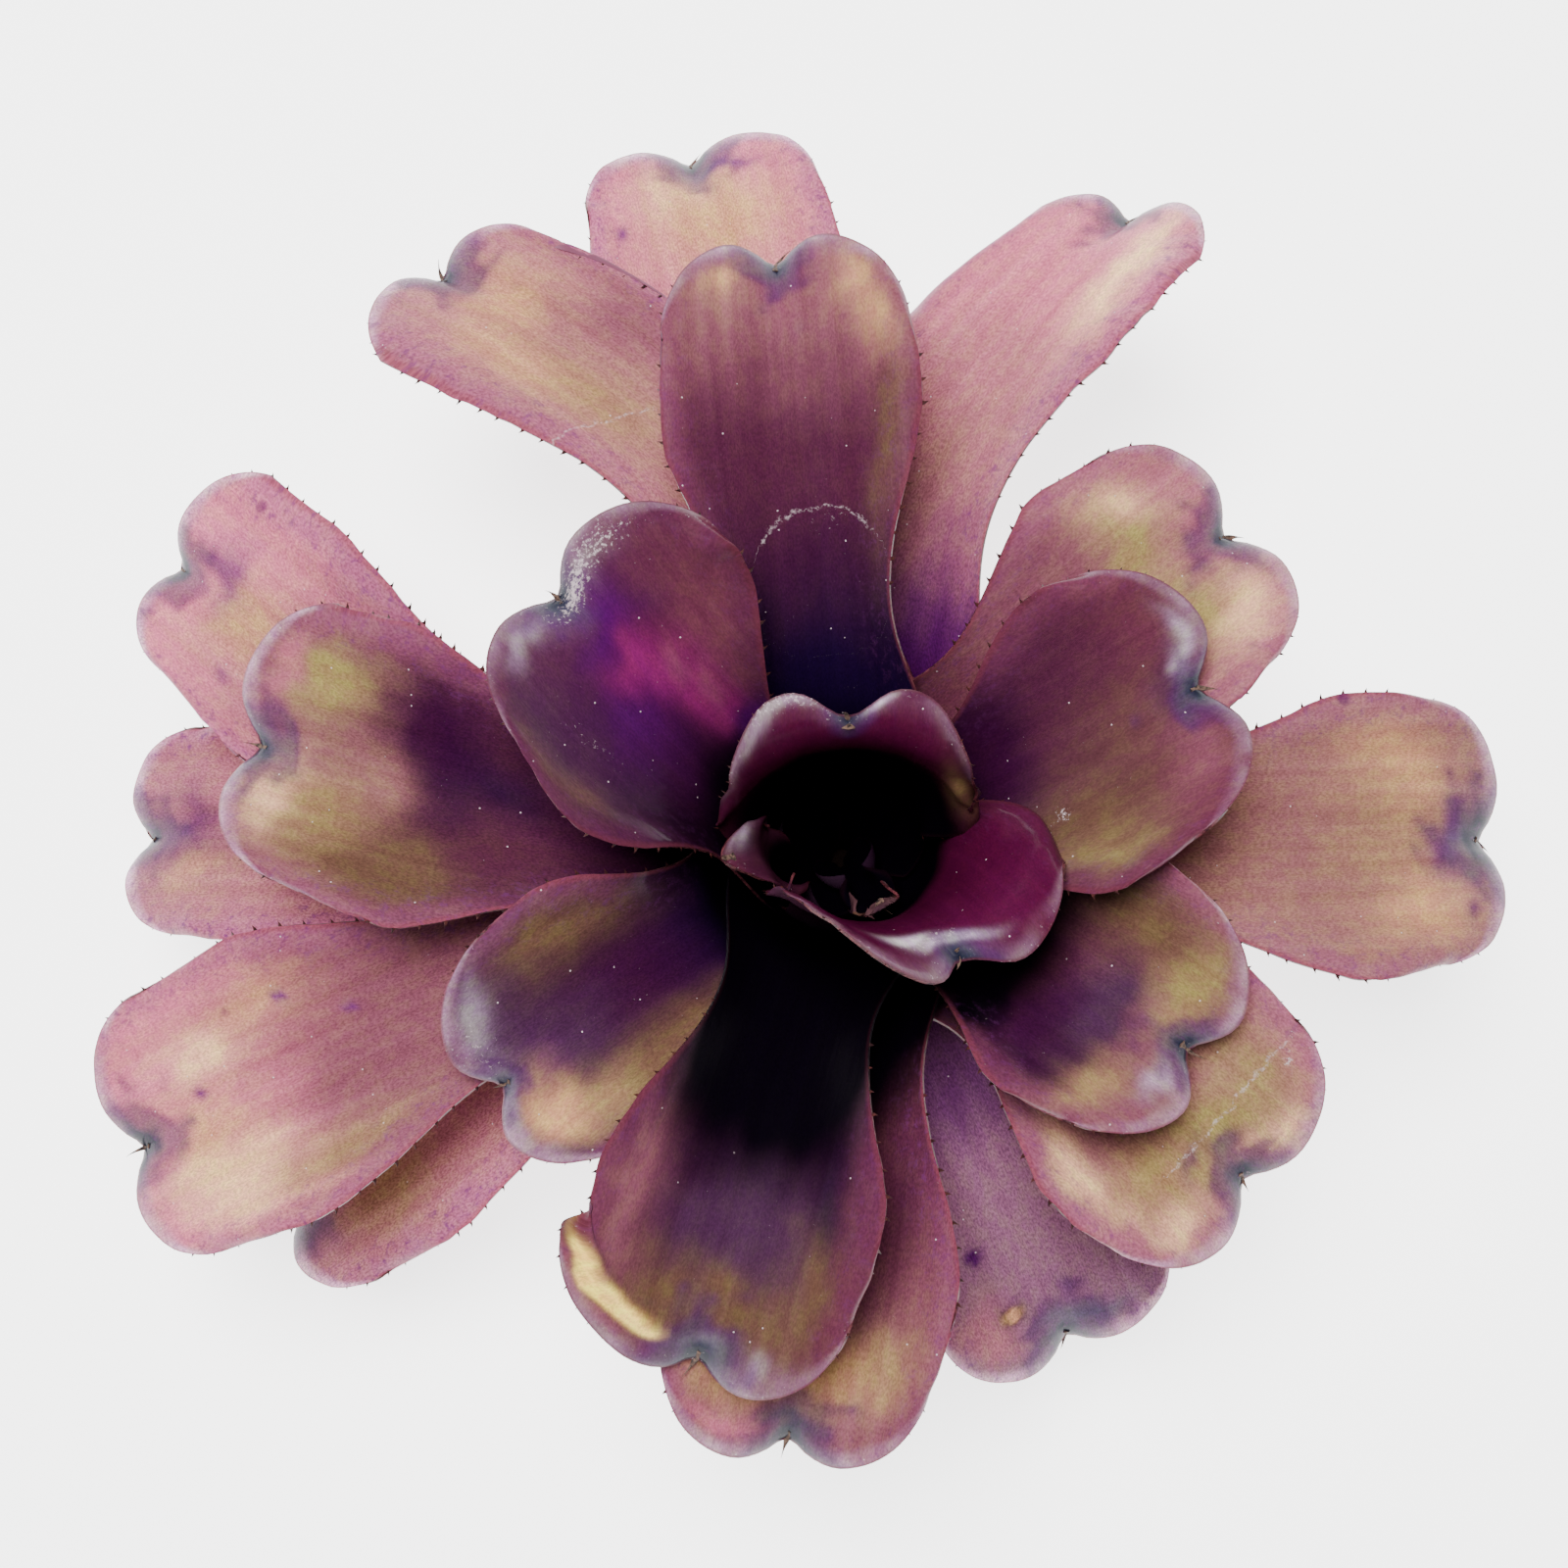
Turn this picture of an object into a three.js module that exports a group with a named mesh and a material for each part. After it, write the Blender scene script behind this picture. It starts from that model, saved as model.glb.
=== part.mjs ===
// A neoregelia hybrid: a bromeliad rosette of broad strap leaves, lifted from its bed, with no pot.
// Every leaf is a sheath wrapped round a short stem and a blade that arches out of it. The sheaths nest
// like cups, the oldest outside, and hold the plant's water tank. Millimetres, +Z up, the centre of the
// stem's cut end at the origin.
import * as THREE from "three";

// The stem: a stub with a flat cut end, under a dome that the leaves grow from.
const STUB_RADIUS = 25;
const STUB_HEIGHT = 9;
const STUB_BEVEL = 1;
const DOME_RADIUS = 23;
const DOME_HEIGHT = 34;
const DOME_STEPS = 7;
const STEM_SIDES = 24;

// The sheaths: the youngest leaf makes a tube this wide, and each older one lies a pitch outside it.
// Heights and leans of the collars, where blade meets sheath, run evenly from the youngest to the oldest.
const TUBE_RADIUS = 22;
const SHEATH_PITCH = 1.45;
const FOOT_GAP = 0.5;
const FIRST_FOOT = 0.7;
const COLLAR_HEIGHTS = [88, 58];
const COLLAR_LEANS = [2, 34];
const SHEATH = 84;
const MOST_WRAP = 2;
const FOOT_WRAP = 1.2;

// The blades: widths, bends and roundings of a full leaf, unless its row in the table says otherwise.
const WAIST = 50;
const THROAT_CUP = 0.56;
const END_WIDTH = 0.92;
const END_BEND = 0.85;
const CURL = 8;
const PINCH = 6.5;
const TIP_ROUNDING = 30;
const TIP_SQUARENESS = 2.4;
const NOTCH_WIDTH = 0.24;
const PINCH_WIDTH = 0.3;
const WAVE = 1.3;
const WAVE_RATE = 19;
const SHEATH_THICKNESS = 0.8;
const MID_THICKNESS = 1.1;
const EDGE_THICKNESS = 0.7;

// Places along a leaf, as shares of its length.
const SHEATH_AT = 0.2;
const OPENING_FROM = 0.28;
const OPENING_TO = 0.5;
const WAIST_AT = 0.48;
const BROADEST_AT = 0.8;
const CURL_FROM = 0.84;
const THICKENING = [0.25, 0.5];
const SWAYING = [0.3, 1.1];
const TWISTING = [0.35, 1];
const GATHERING = [0.4, 0.9];
const WAVING = [0.5, 0.8];

// How strongly the midrib holds its direction at the foot, either side of the collar, and at the tip.
const HOLDS = { foot: 0.8, below: 0.45, above: 0.4, tip: 0.35 };

// The teeth along each margin, and the dry point at the tip.
const TOOTH_LENGTH = 1.7;
const TOOTH_HALF_BASE = 0.7;
const TOOTH_HALF_THICKNESS = 0.25;
const TOOTH_LEAN = 0.7;
const FIRST_TOOTH_ROW = 6;
const LAST_TOOTH_ROW = 11;
const POINT_RADII = [1.2, 0.9, 0.55];
const POINT_KEEL = 0.7;
const POINT_START = 0.8;
const POINT_STEP = 2.6;
const POINT_BEND = 18;

// Where each leaf is cut into rows, as shares of its length, and how many strips it has across.
const ROWS = [0, 0.08, 0.17, 0.26, 0.35, 0.43, 0.5, 0.57, 0.64, 0.71, 0.78, 0.85, 0.91, 0.96, 1];
const STRIPS = 8;

// The leaves from the heart outwards. The columns are the azimuth, from +X towards +Y; the reach and the
// height of the tip; the midrib's angle from upright at the tip; the blade's width; the radius of its
// channel; and the depth of the notch at its end. What else sets a leaf apart comes last: sway turns the
// blade sideways, twist rolls it about its midrib, curl is how far its end rolls down, pinch how far its
// point is sunk between the two lobes, and round how far the lobes' corners are rounded off.
const LEAVES = [
  [300, 20, 84, 10, 16, 8, 0, { sheath: 44, waist: 22, curl: 0, pinch: 0 }],
  [206, 33, 142, 30, 22, 12, 0, { sheath: 54, waist: 26, curl: 2, pinch: 2, sway: -8 }],
  [92, 33, 160, 80, 92, 40, 10, { waist: 74, curl: 10, pinch: -8, round: 40 }],
  [307, 53, 161, 55, 88, 48, 9, { waist: 72, twist: -30 }],
  [160, 110, 150, 85, 90, 60, 8, { sway: -18 }],
  [11, 112, 148, 80, 88, 60, 9, { sway: 10 }],
  [254, 159, 135, 95, 82, 48, 6, {}],
  [100, 171, 145, 80, 76, 60, 7, { sway: -3 }],
  [326, 121, 134, 80, 82, 50, 9, {}],
  [217, 129, 128, 85, 78, 55, 8, {}],
  [38, 150, 125, 90, 84, 60, 8, {}],
  [269, 178, 112, 95, 80, 60, 6, { sway: -5 }],
  [180, 182, 118, 95, 88, 60, 8, { sway: -9 }],
  [319, 159, 108, 95, 90, 60, 7, {}],
  [-2, 202, 85, 98, 86, 70, 4, { sway: 3 }],
  [203, 238, 78, 100, 86, 70, 6, {}],
  [106, 226, 101, 98, 68, 60, 6, { sway: 20 }],
  [80, 232, 88, 95, 70, 60, 5, { sway: -15, twist: -28 }],
  [171, 233, 85, 98, 74, 70, 5, { sway: -15 }],
  [102, 242, 76, 98, 80, 70, 4, {}],
  [295, 170, 60, 105, 80, 70, 5, {}],
  [178, 230, 55, 105, 70, 70, 5, {}],
  [213, 214, 45, 105, 66, 70, 4, {}],
].map(([azimuth, reach, height, fall, width, cup, notch, other]) => ({
  ...{ azimuth, reach, height, fall, width, cup, notch },
  ...{ sheath: SHEATH, waist: WAIST, curl: CURL, pinch: PINCH, round: TIP_ROUNDING, sway: 0, twist: 0 },
  ...other,
}));

const UP = new THREE.Vector3(0, 0, 1);
const { clamp, degToRad: radians, lerp, smoothstep } = THREE.MathUtils;
const bell = (x, width) => Math.exp(-((x / width) ** 2));

// A value that eases from key to key, each a [share of the length, value] pair.
function keyed(u, keys) {
  for (let i = 1; i < keys.length; i++) {
    const [from, a] = keys[i - 1];
    const [to, b] = keys[i];
    if (u <= to) return lerp(a, b, smoothstep(u, from, to));
  }
  return keys.at(-1)[1];
}

// A unit step in a leaf's upright plane, x outwards and y up, at an angle from upright.
const heading = (degrees) => new THREE.Vector2(Math.sin(radians(degrees)), Math.cos(radians(degrees)));

// The radius of a leaf's sheath at its collar, and how far the leaf's age is from the youngest's, 0 to 1.
const sheathRadius = (layer) => TUBE_RADIUS + SHEATH_PITCH * layer;
const ageOf = (layer) => layer / (LEAVES.length - 1);

// The stem's dome in an upright plane, from its top down its side. The leaves' feet sit on it.
const dome = new THREE.EllipseCurve(0, STUB_HEIGHT, DOME_RADIUS, DOME_HEIGHT, Math.PI / 2, 0, true);

// A leaf's midrib in its upright plane: the sheath's curve up to the collar, then the blade's to the tip.
function midrib(leaf, layer) {
  const share = (layer + FIRST_FOOT) / LEAVES.length;
  const down = dome.getTangentAt(share);
  const outwards = new THREE.Vector2(-down.y, down.x);
  const foot = dome.getPointAt(share).addScaledVector(outwards, FOOT_GAP);
  const collar = new THREE.Vector2(sheathRadius(layer), lerp(...COLLAR_HEIGHTS, ageOf(layer)));
  const tip = new THREE.Vector2(leaf.reach, leaf.height);
  const lean = heading(lerp(...COLLAR_LEANS, ageOf(layer)));
  const climb = collar.y - foot.y;
  const spread = collar.x - foot.x;
  const chord = collar.distanceTo(tip);
  const path = new THREE.CurvePath();
  path.add(
    new THREE.CubicBezierCurve(
      foot,
      foot.clone().addScaledVector(outwards, HOLDS.foot * spread),
      collar.clone().addScaledVector(lean, -HOLDS.below * climb),
      collar,
    ),
  );
  path.add(
    new THREE.CubicBezierCurve(
      collar,
      collar.clone().addScaledVector(lean, HOLDS.above * chord),
      tip.clone().addScaledVector(heading(leaf.fall), -HOLDS.tip * chord),
      tip,
    ),
  );
  return path;
}

// How far short of the longest point the end stops at q, which runs across the leaf from -1 to 1: its
// corners are rounded off, and it is notched at the midrib.
function shortfall(leaf, q) {
  const corner = 1 - Math.sqrt(Math.max(0, 1 - Math.abs(q) ** TIP_SQUARENESS));
  return leaf.round * corner + leaf.notch * bell(q, NOTCH_WIDTH);
}

// The middle of a leaf's thickness at u, along it from 0 to 1, and q, across it. The end stops short as it
// does at cut, which is q but where the leaf's direction across is wanted.
function surfaceOf(leaf, layer) {
  const path = midrib(leaf, layer);
  const length = path.getLength();
  const widths = [
    [0, FOOT_WRAP * path.getPointAt(0).x],
    [SHEATH_AT, leaf.sheath / 2],
    [WAIST_AT, leaf.waist / 2],
    [BROADEST_AT, leaf.width / 2],
    [1, (END_WIDTH * leaf.width) / 2],
  ];
  const bends = [
    [OPENING_FROM, 1 / sheathRadius(layer)],
    [OPENING_TO, 1 / Math.min(THROAT_CUP * leaf.cup, sheathRadius(layer))],
    [BROADEST_AT, 1 / leaf.cup],
    [1, END_BEND / leaf.cup],
  ];
  return (u, q, cut = q) => {
    const share = clamp(u - (shortfall(leaf, cut) * u ** 4) / length, 0, 1);
    const centre = path.getPointAt(share);
    const tangent = path.getTangentAt(share);
    const across = q * Math.min(keyed(u, widths), MOST_WRAP * centre.x);

    // In the sheath, an arc round the plant's axis.
    const turn = across / centre.x;
    const wrapped = new THREE.Vector3(Math.cos(turn) * centre.x, Math.sin(turn) * centre.x, centre.y);

    // In the blade, a channel open upwards, rolled about the midrib, with waved margins and a curled end.
    const bend = keyed(u, bends);
    const side = Math.sin(bend * across) / bend;
    const lift = (1 - Math.cos(bend * across)) / bend;
    const twist = radians(leaf.twist) * smoothstep(u, ...TWISTING);
    const end = clamp((share - CURL_FROM) / (1 - CURL_FROM), 0, 1) ** 2;
    const sunk = end * (leaf.curl + leaf.pinch * bell(q, PINCH_WIDTH));
    const phase = WAVE_RATE * u + 2 * layer + (q > 0 ? 0 : 2);
    const wave = WAVE * Math.sin(phase) * Math.abs(q) ** 3 * smoothstep(u, ...WAVING);
    const sideways = side * Math.cos(twist) - lift * Math.sin(twist);
    const up = side * Math.sin(twist) + lift * Math.cos(twist) - sunk + wave;
    const channel = new THREE.Vector3(centre.x - tangent.y * up, sideways, centre.y + tangent.x * up);

    const sway = radians(leaf.sway) * smoothstep(u, ...SWAYING);
    return wrapped.lerp(channel, smoothstep(u, OPENING_FROM, OPENING_TO)).applyAxisAngle(UP, sway);
  };
}

// The direction in which a leaf is thick, from small steps on its surface.
function normalAt(surface, u, q) {
  const step = 1e-3;
  const lengthwise = surface(Math.min(1, u + step), q).sub(surface(Math.max(0, u - step), q));
  const crosswise = surface(u, q + step, q).sub(surface(u, q - step, q));
  return lengthwise.cross(crosswise).normalize();
}

// Strips are even in the sheath, and closer at the margins in the blade, where the end turns its corners.
function acrossAt(u, k) {
  const even = -1 + (2 * k) / STRIPS;
  return lerp(even, Math.sin((Math.PI / 2) * even), smoothstep(u, ...GATHERING));
}

const addQuad = (faces, a, b, c, d) => faces.push(a, b, c, a, c, d);

// The dry point in the middle of the end: folded rings of three corners that shrink along a path bending
// upwards, to an apex. The end is its middle corner on the upper face, and under is added for the lower.
function addPoint(points, faces, end, under) {
  const between = (i) => points[i].clone().lerp(points[under + i], 0.5);
  const spot = between(end);
  const leftwards = between(end - 1).sub(spot).normalize();
  const rightwards = between(end + 1).sub(spot).normalize();
  const sideways = rightwards.clone().sub(leftwards).normalize();
  const upwards = points[end].clone().sub(points[under + end]).normalize();
  const forwards = sideways.clone().cross(upwards).normalize();
  const ring = points.length;
  spot.addScaledVector(forwards, POINT_START);
  for (const radius of POINT_RADII) {
    points.push(
      spot.clone().addScaledVector(leftwards, radius),
      spot.clone().addScaledVector(upwards, -POINT_KEEL * radius),
      spot.clone().addScaledVector(rightwards, radius),
    );
    for (const way of [leftwards, rightwards, upwards, forwards]) {
      way.applyAxisAngle(sideways, -radians(POINT_BEND));
    }
    spot.addScaledVector(forwards, POINT_STEP);
  }
  points.push(spot);
  addQuad(faces, under + end - 1, under + end, ring + 1, ring);
  addQuad(faces, under + end, under + end + 1, ring + 2, ring + 1);
  addQuad(faces, end + 1, end, ring, ring + 2);
  faces.push(end - 1, under + end - 1, ring, under + end + 1, end + 1, ring + 2, end, end - 1, ring);
  const apex = ring + 3 * POINT_RADII.length;
  for (let a = ring; a < apex; a++) {
    const b = (a - ring) % 3 === 2 ? a - 2 : a + 1;
    if (a + 3 < apex) addQuad(faces, a, b, b + 3, a + 3);
    else faces.push(a, b, apex);
  }
}

// A closed sheet of leaf: a grid of points on each face, and a rim round them with teeth down its sides
// and the dry point in the middle of its end.
function bladeGeometry(surface) {
  const points = [];
  for (const face of [1, -1]) {
    for (const u of ROWS) {
      const middle = lerp(SHEATH_THICKNESS, MID_THICKNESS, smoothstep(u, ...THICKENING));
      for (let k = 0; k <= STRIPS; k++) {
        const q = acrossAt(u, k);
        const half = lerp(middle, EDGE_THICKNESS, q * q) / 2;
        points.push(surface(u, q).addScaledVector(normalAt(surface, u, q), face * half));
      }
    }
  }
  const row = STRIPS + 1;
  const under = ROWS.length * row;
  const faces = [];
  const quad = (...corners) => addQuad(faces, ...corners);

  // A tooth on the rim between two rows: a and b are on the lower row, c and d on the upper one.
  const tooth = (a, b, c, d, inner) => {
    const centre = [a, b, c, d].reduce((sum, i) => sum.add(points[i]), new THREE.Vector3()).divideScalar(4);
    const forwards = points[c].clone().sub(points[b]).normalize();
    const sideways = points[b].clone().sub(points[a]).normalize();
    const outwards = points[a].clone().sub(points[inner]).normalize();
    const at = (ahead, aside) =>
      centre.clone().addScaledVector(forwards, ahead).addScaledVector(sideways, aside);
    const near = points.length;
    const [far, front, apex] = [near + 1, near + 2, near + 3];
    points.push(
      at(-TOOTH_HALF_BASE, -TOOTH_HALF_THICKNESS),
      at(-TOOTH_HALF_BASE, TOOTH_HALF_THICKNESS),
      at(TOOTH_HALF_BASE, 0),
      at(TOOTH_LEAN, 0).addScaledVector(outwards, TOOTH_LENGTH),
    );
    quad(a, b, far, near);
    quad(b, c, front, far);
    quad(d, a, near, front);
    faces.push(c, d, front, near, far, apex, far, front, apex, front, near, apex);
  };

  for (let i = 0; i < ROWS.length - 1; i++) {
    for (let k = 0; k < STRIPS; k++) {
      const [a, b, c, d] = [i * row + k, (i + 1) * row + k, (i + 1) * row + k + 1, i * row + k + 1];
      quad(a, b, c, d);
      faces.push(under + a, under + c, under + b, under + a, under + d, under + c);
    }
    const [left, right] = [i * row, i * row + STRIPS];
    const leftRim = [left, under + left, under + left + row, left + row];
    const rightRim = [under + right, right, right + row, under + right + row];
    if (i < FIRST_TOOTH_ROW || i > LAST_TOOTH_ROW) {
      quad(...leftRim);
      quad(...rightRim);
    } else {
      tooth(...leftRim, left + 1);
      tooth(...rightRim, under + right - 1);
    }
  }
  const last = (ROWS.length - 1) * row;
  const end = last + STRIPS / 2;
  for (let k = 0; k < STRIPS; k++) {
    quad(k, k + 1, under + k + 1, under + k);
    const i = last + k;
    if (i < end - 1 || i > end) quad(i, under + i, under + i + 1, i + 1);
  }

  addPoint(points, faces, end, under);

  const geometry = new THREE.BufferGeometry().setFromPoints(points);
  geometry.setIndex(faces);
  return geometry;
}

const stemSkin = new THREE.MeshStandardMaterial({ color: 0x7d6a4f, roughness: 0.85, metalness: 0 });
const leafSkin = new THREE.MeshStandardMaterial({ color: 0x7a4a5e, roughness: 0.35, metalness: 0 });

function makeStem() {
  const profile = [
    new THREE.Vector2(0, 0),
    new THREE.Vector2(STUB_RADIUS - STUB_BEVEL, 0),
    new THREE.Vector2(STUB_RADIUS, STUB_BEVEL),
    new THREE.Vector2(STUB_RADIUS, STUB_HEIGHT / 2),
    ...dome.getPoints(DOME_STEPS).reverse(),
  ];
  const stem = new THREE.Mesh(new THREE.LatheGeometry(profile, STEM_SIDES), stemSkin);
  stem.name = "stem";
  stem.rotation.x = Math.PI / 2;
  return stem;
}

function makeLeaf(leaf, layer) {
  const mesh = new THREE.Mesh(bladeGeometry(surfaceOf(leaf, layer)), leafSkin);
  mesh.name = `leaf_${String(layer + 1).padStart(2, "0")}`;
  mesh.rotation.z = radians(leaf.azimuth);
  return mesh;
}

const plant = new THREE.Group();
plant.add(makeStem(), ...LEAVES.map(makeLeaf));

export default plant;
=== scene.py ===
# %% [markdown]
# # A neoregelia, leaf by leaf
# A neoregelia is a bromeliad that lies low and wide. Its broad strap leaves nest into one another and hold
# water in their middle. This lesson dresses a plain, faceted model of one plant. The frame gives the plant's
# size and place, and every leaf is made again here with a smooth skin, fine teeth and painted colour.

# %% Load the frame and measure it
import math

import bpy
import numpy as np
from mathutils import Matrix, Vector, noise


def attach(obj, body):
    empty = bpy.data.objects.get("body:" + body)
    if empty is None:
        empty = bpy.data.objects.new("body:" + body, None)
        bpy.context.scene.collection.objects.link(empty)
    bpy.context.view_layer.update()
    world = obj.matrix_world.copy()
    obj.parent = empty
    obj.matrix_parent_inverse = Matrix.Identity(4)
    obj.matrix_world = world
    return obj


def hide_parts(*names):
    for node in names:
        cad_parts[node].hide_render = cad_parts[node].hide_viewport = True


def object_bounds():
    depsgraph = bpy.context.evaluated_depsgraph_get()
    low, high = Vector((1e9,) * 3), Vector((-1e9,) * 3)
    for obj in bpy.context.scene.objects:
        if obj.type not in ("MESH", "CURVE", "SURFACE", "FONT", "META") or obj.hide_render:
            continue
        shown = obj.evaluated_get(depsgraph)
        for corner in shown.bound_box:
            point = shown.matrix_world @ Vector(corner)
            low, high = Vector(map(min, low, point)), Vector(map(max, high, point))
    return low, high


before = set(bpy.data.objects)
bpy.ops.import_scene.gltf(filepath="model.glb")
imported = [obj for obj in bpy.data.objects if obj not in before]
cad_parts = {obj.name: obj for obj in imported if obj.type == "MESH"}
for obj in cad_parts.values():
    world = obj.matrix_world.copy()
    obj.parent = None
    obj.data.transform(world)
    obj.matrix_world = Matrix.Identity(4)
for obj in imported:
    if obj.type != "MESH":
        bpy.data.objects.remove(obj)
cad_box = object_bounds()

MM = 0.001
box_mm = [[round(x / MM) for x in corner] for corner in cad_box]
print("plain solids:", len(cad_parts), "box in mm:", box_mm)


# %% [markdown]
# ## Camera
# The plant was seen from almost straight above, a little from its front. How wide the lens is and how far the
# camera stands decide how much larger the high heart looks than the low tips, so both were tried until the
# leaves covered one another as they should. A function turns the camera, and later the lamp, to a point.

# %% Place the camera
VIEW_TARGET = Vector((-0.018, 0.016, 0.1))
VIEW_DISTANCE = 0.6
VIEW_ELEVATION = math.radians(80)
LENS_ANGLE = math.radians(42)


def aim(thing, target):
    """Turns a camera or lamp so that it looks at a point."""
    thing.rotation_euler = (Vector(target) - thing.location).to_track_quat("-Z", "Y").to_euler()


backwards = Vector((0, -math.cos(VIEW_ELEVATION), math.sin(VIEW_ELEVATION)))
bpy.ops.object.camera_add(location=VIEW_TARGET + VIEW_DISTANCE * backwards)
camera = bpy.context.object
camera.data.lens = camera.data.sensor_width / 2 / math.tan(LENS_ANGLE / 2)
aim(camera, VIEW_TARGET)
bpy.context.scene.camera = camera
print("camera", round(camera.data.lens, 1), "mm lens,", VIEW_DISTANCE, "m away")

# %% [markdown]
# ## Lamp, sky and floor
# Glossy leaves mirror whatever is round them, so the sky matters more than the lamp. Here it is dim overhead,
# which keeps the cup black and the flat blades rich in colour, and bright near the horizon, which draws the
# white sheen along every rolled rim. A picture of a studio could do this too, but two numbers and a height
# are easier to tune. One wide soft lamp gives the light itself and is hidden from the gloss.

# %% Hang the lamp
LAMP_PLACE = (-0.3, 0.35, 1.9)
LAMP_TARGET = (0, 0, 0.08)
LAMP_SIZE = 1.1
LAMP_WATTS = 80

bpy.ops.object.light_add(type="AREA", location=LAMP_PLACE)
lamp = bpy.context.object
lamp.name = "lamp_above"
lamp.data.shape = "DISK"
lamp.data.size = LAMP_SIZE
lamp.data.energy = LAMP_WATTS
lamp.visible_glossy = False
aim(lamp, LAMP_TARGET)
print("lamp of", LAMP_WATTS, "watts,", LAMP_SIZE, "m wide")

# %% Make the sky
ZENITH_LIGHT = 0.1
HORIZON_LIGHT = 2.8
HORIZON_FROM = 0.05
HORIZON_TOP = 0.32
SKY_COLOUR = (1, 0.99, 0.985, 1)

world = bpy.data.worlds.new("ring_sky")
world.use_nodes = True
sky = world.node_tree
way = sky.nodes.new("ShaderNodeTexCoord")
split = sky.nodes.new("ShaderNodeSeparateXYZ")
fade = sky.nodes.new("ShaderNodeMapRange")
fade.interpolation_type = "SMOOTHSTEP"
for index, value in enumerate((HORIZON_FROM, HORIZON_TOP, HORIZON_LIGHT, ZENITH_LIGHT)):
    fade.inputs[index + 1].default_value = value
sky.links.new(way.outputs["Generated"], split.inputs[0])
sky.links.new(split.outputs["Z"], fade.inputs["Value"])
sky.links.new(fade.outputs["Result"], sky.nodes["Background"].inputs["Strength"])
sky.nodes["Background"].inputs["Color"].default_value = SKY_COLOUR
bpy.context.scene.world = world
print("sky", ZENITH_LIGHT, "overhead and", HORIZON_LIGHT, "at the horizon")

# %% Lay the floor, which glows so that it stays white under the leaves
FLOOR_SIZE = 6.0
FLOOR_TONE = (0.93, 0.93, 0.93, 1)
FLOOR_GLOW = 3

bpy.ops.object.select_all(action="DESELECT")
bpy.ops.mesh.primitive_plane_add(size=FLOOR_SIZE, location=(0, 0, 0))
floor = bpy.context.object
floor.name = "floor"
pale = bpy.data.materials.new("pale_floor")
pale.use_nodes = True
paper = pale.node_tree.nodes["Principled BSDF"]
paper.inputs["Base Color"].default_value = FLOOR_TONE
paper.inputs["Roughness"].default_value = 0.9
paper.inputs["Emission Color"].default_value = (1, 1, 1, 1)
paper.inputs["Emission Strength"].default_value = FLOOR_GLOW
floor.data.materials.append(pale)
print("floor", FLOOR_SIZE, "m wide")


# %% [markdown]
# ## The shape of a leaf
# A leaf starts as a sheath wrapped round the short stem, and opens into a blade that arches over and rolls
# down at its tip. The plain model was drawn with one formula and one row of numbers for each leaf, and the
# same formula and rows are used here, so that a fine leaf lies exactly where its plain one does. Along the
# leaf u runs from 0 to 1, and across it q runs from -1 to 1.

# %% The sizes that the leaves share, in millimetres and degrees
# A pair such as OPENING says from where to where along the leaf something eases in, as shares of its length.
DOME = {"radius": 23, "height": 34, "base": 9}
TUBE_RADIUS = 22
SHEATH_PITCH = 1.45
FOOT_GAP = 0.5
DOME_STEPS = 600
FIRST_FOOT = 0.7
COLLAR_HEIGHTS = (88, 58)
COLLAR_LEANS = (2, 34)
MOST_WRAP = 2
FOOT_WRAP = 1.2
THROAT_CUP = 0.56
END_WIDTH = 0.92
END_BEND = 0.85
TIP_SQUARENESS = 2.4
NOTCH_WIDTH = 0.24
PINCH_WIDTH = 0.3
WAVE = 1.3
WAVE_RATE = 19
WAVE_SHIFT = 2
SHEATH_AT = 0.2
OPENING = (0.28, 0.5)
WAIST_AT = 0.48
BROADEST_AT = 0.8
CURL_FROM = 0.84
SWAYING = (0.3, 1.1)
TWISTING = (0.35, 1)
WAVING = (0.5, 0.8)
HOLDS = {"foot": 0.8, "below": 0.45, "above": 0.4, "tip": 0.35}

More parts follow.
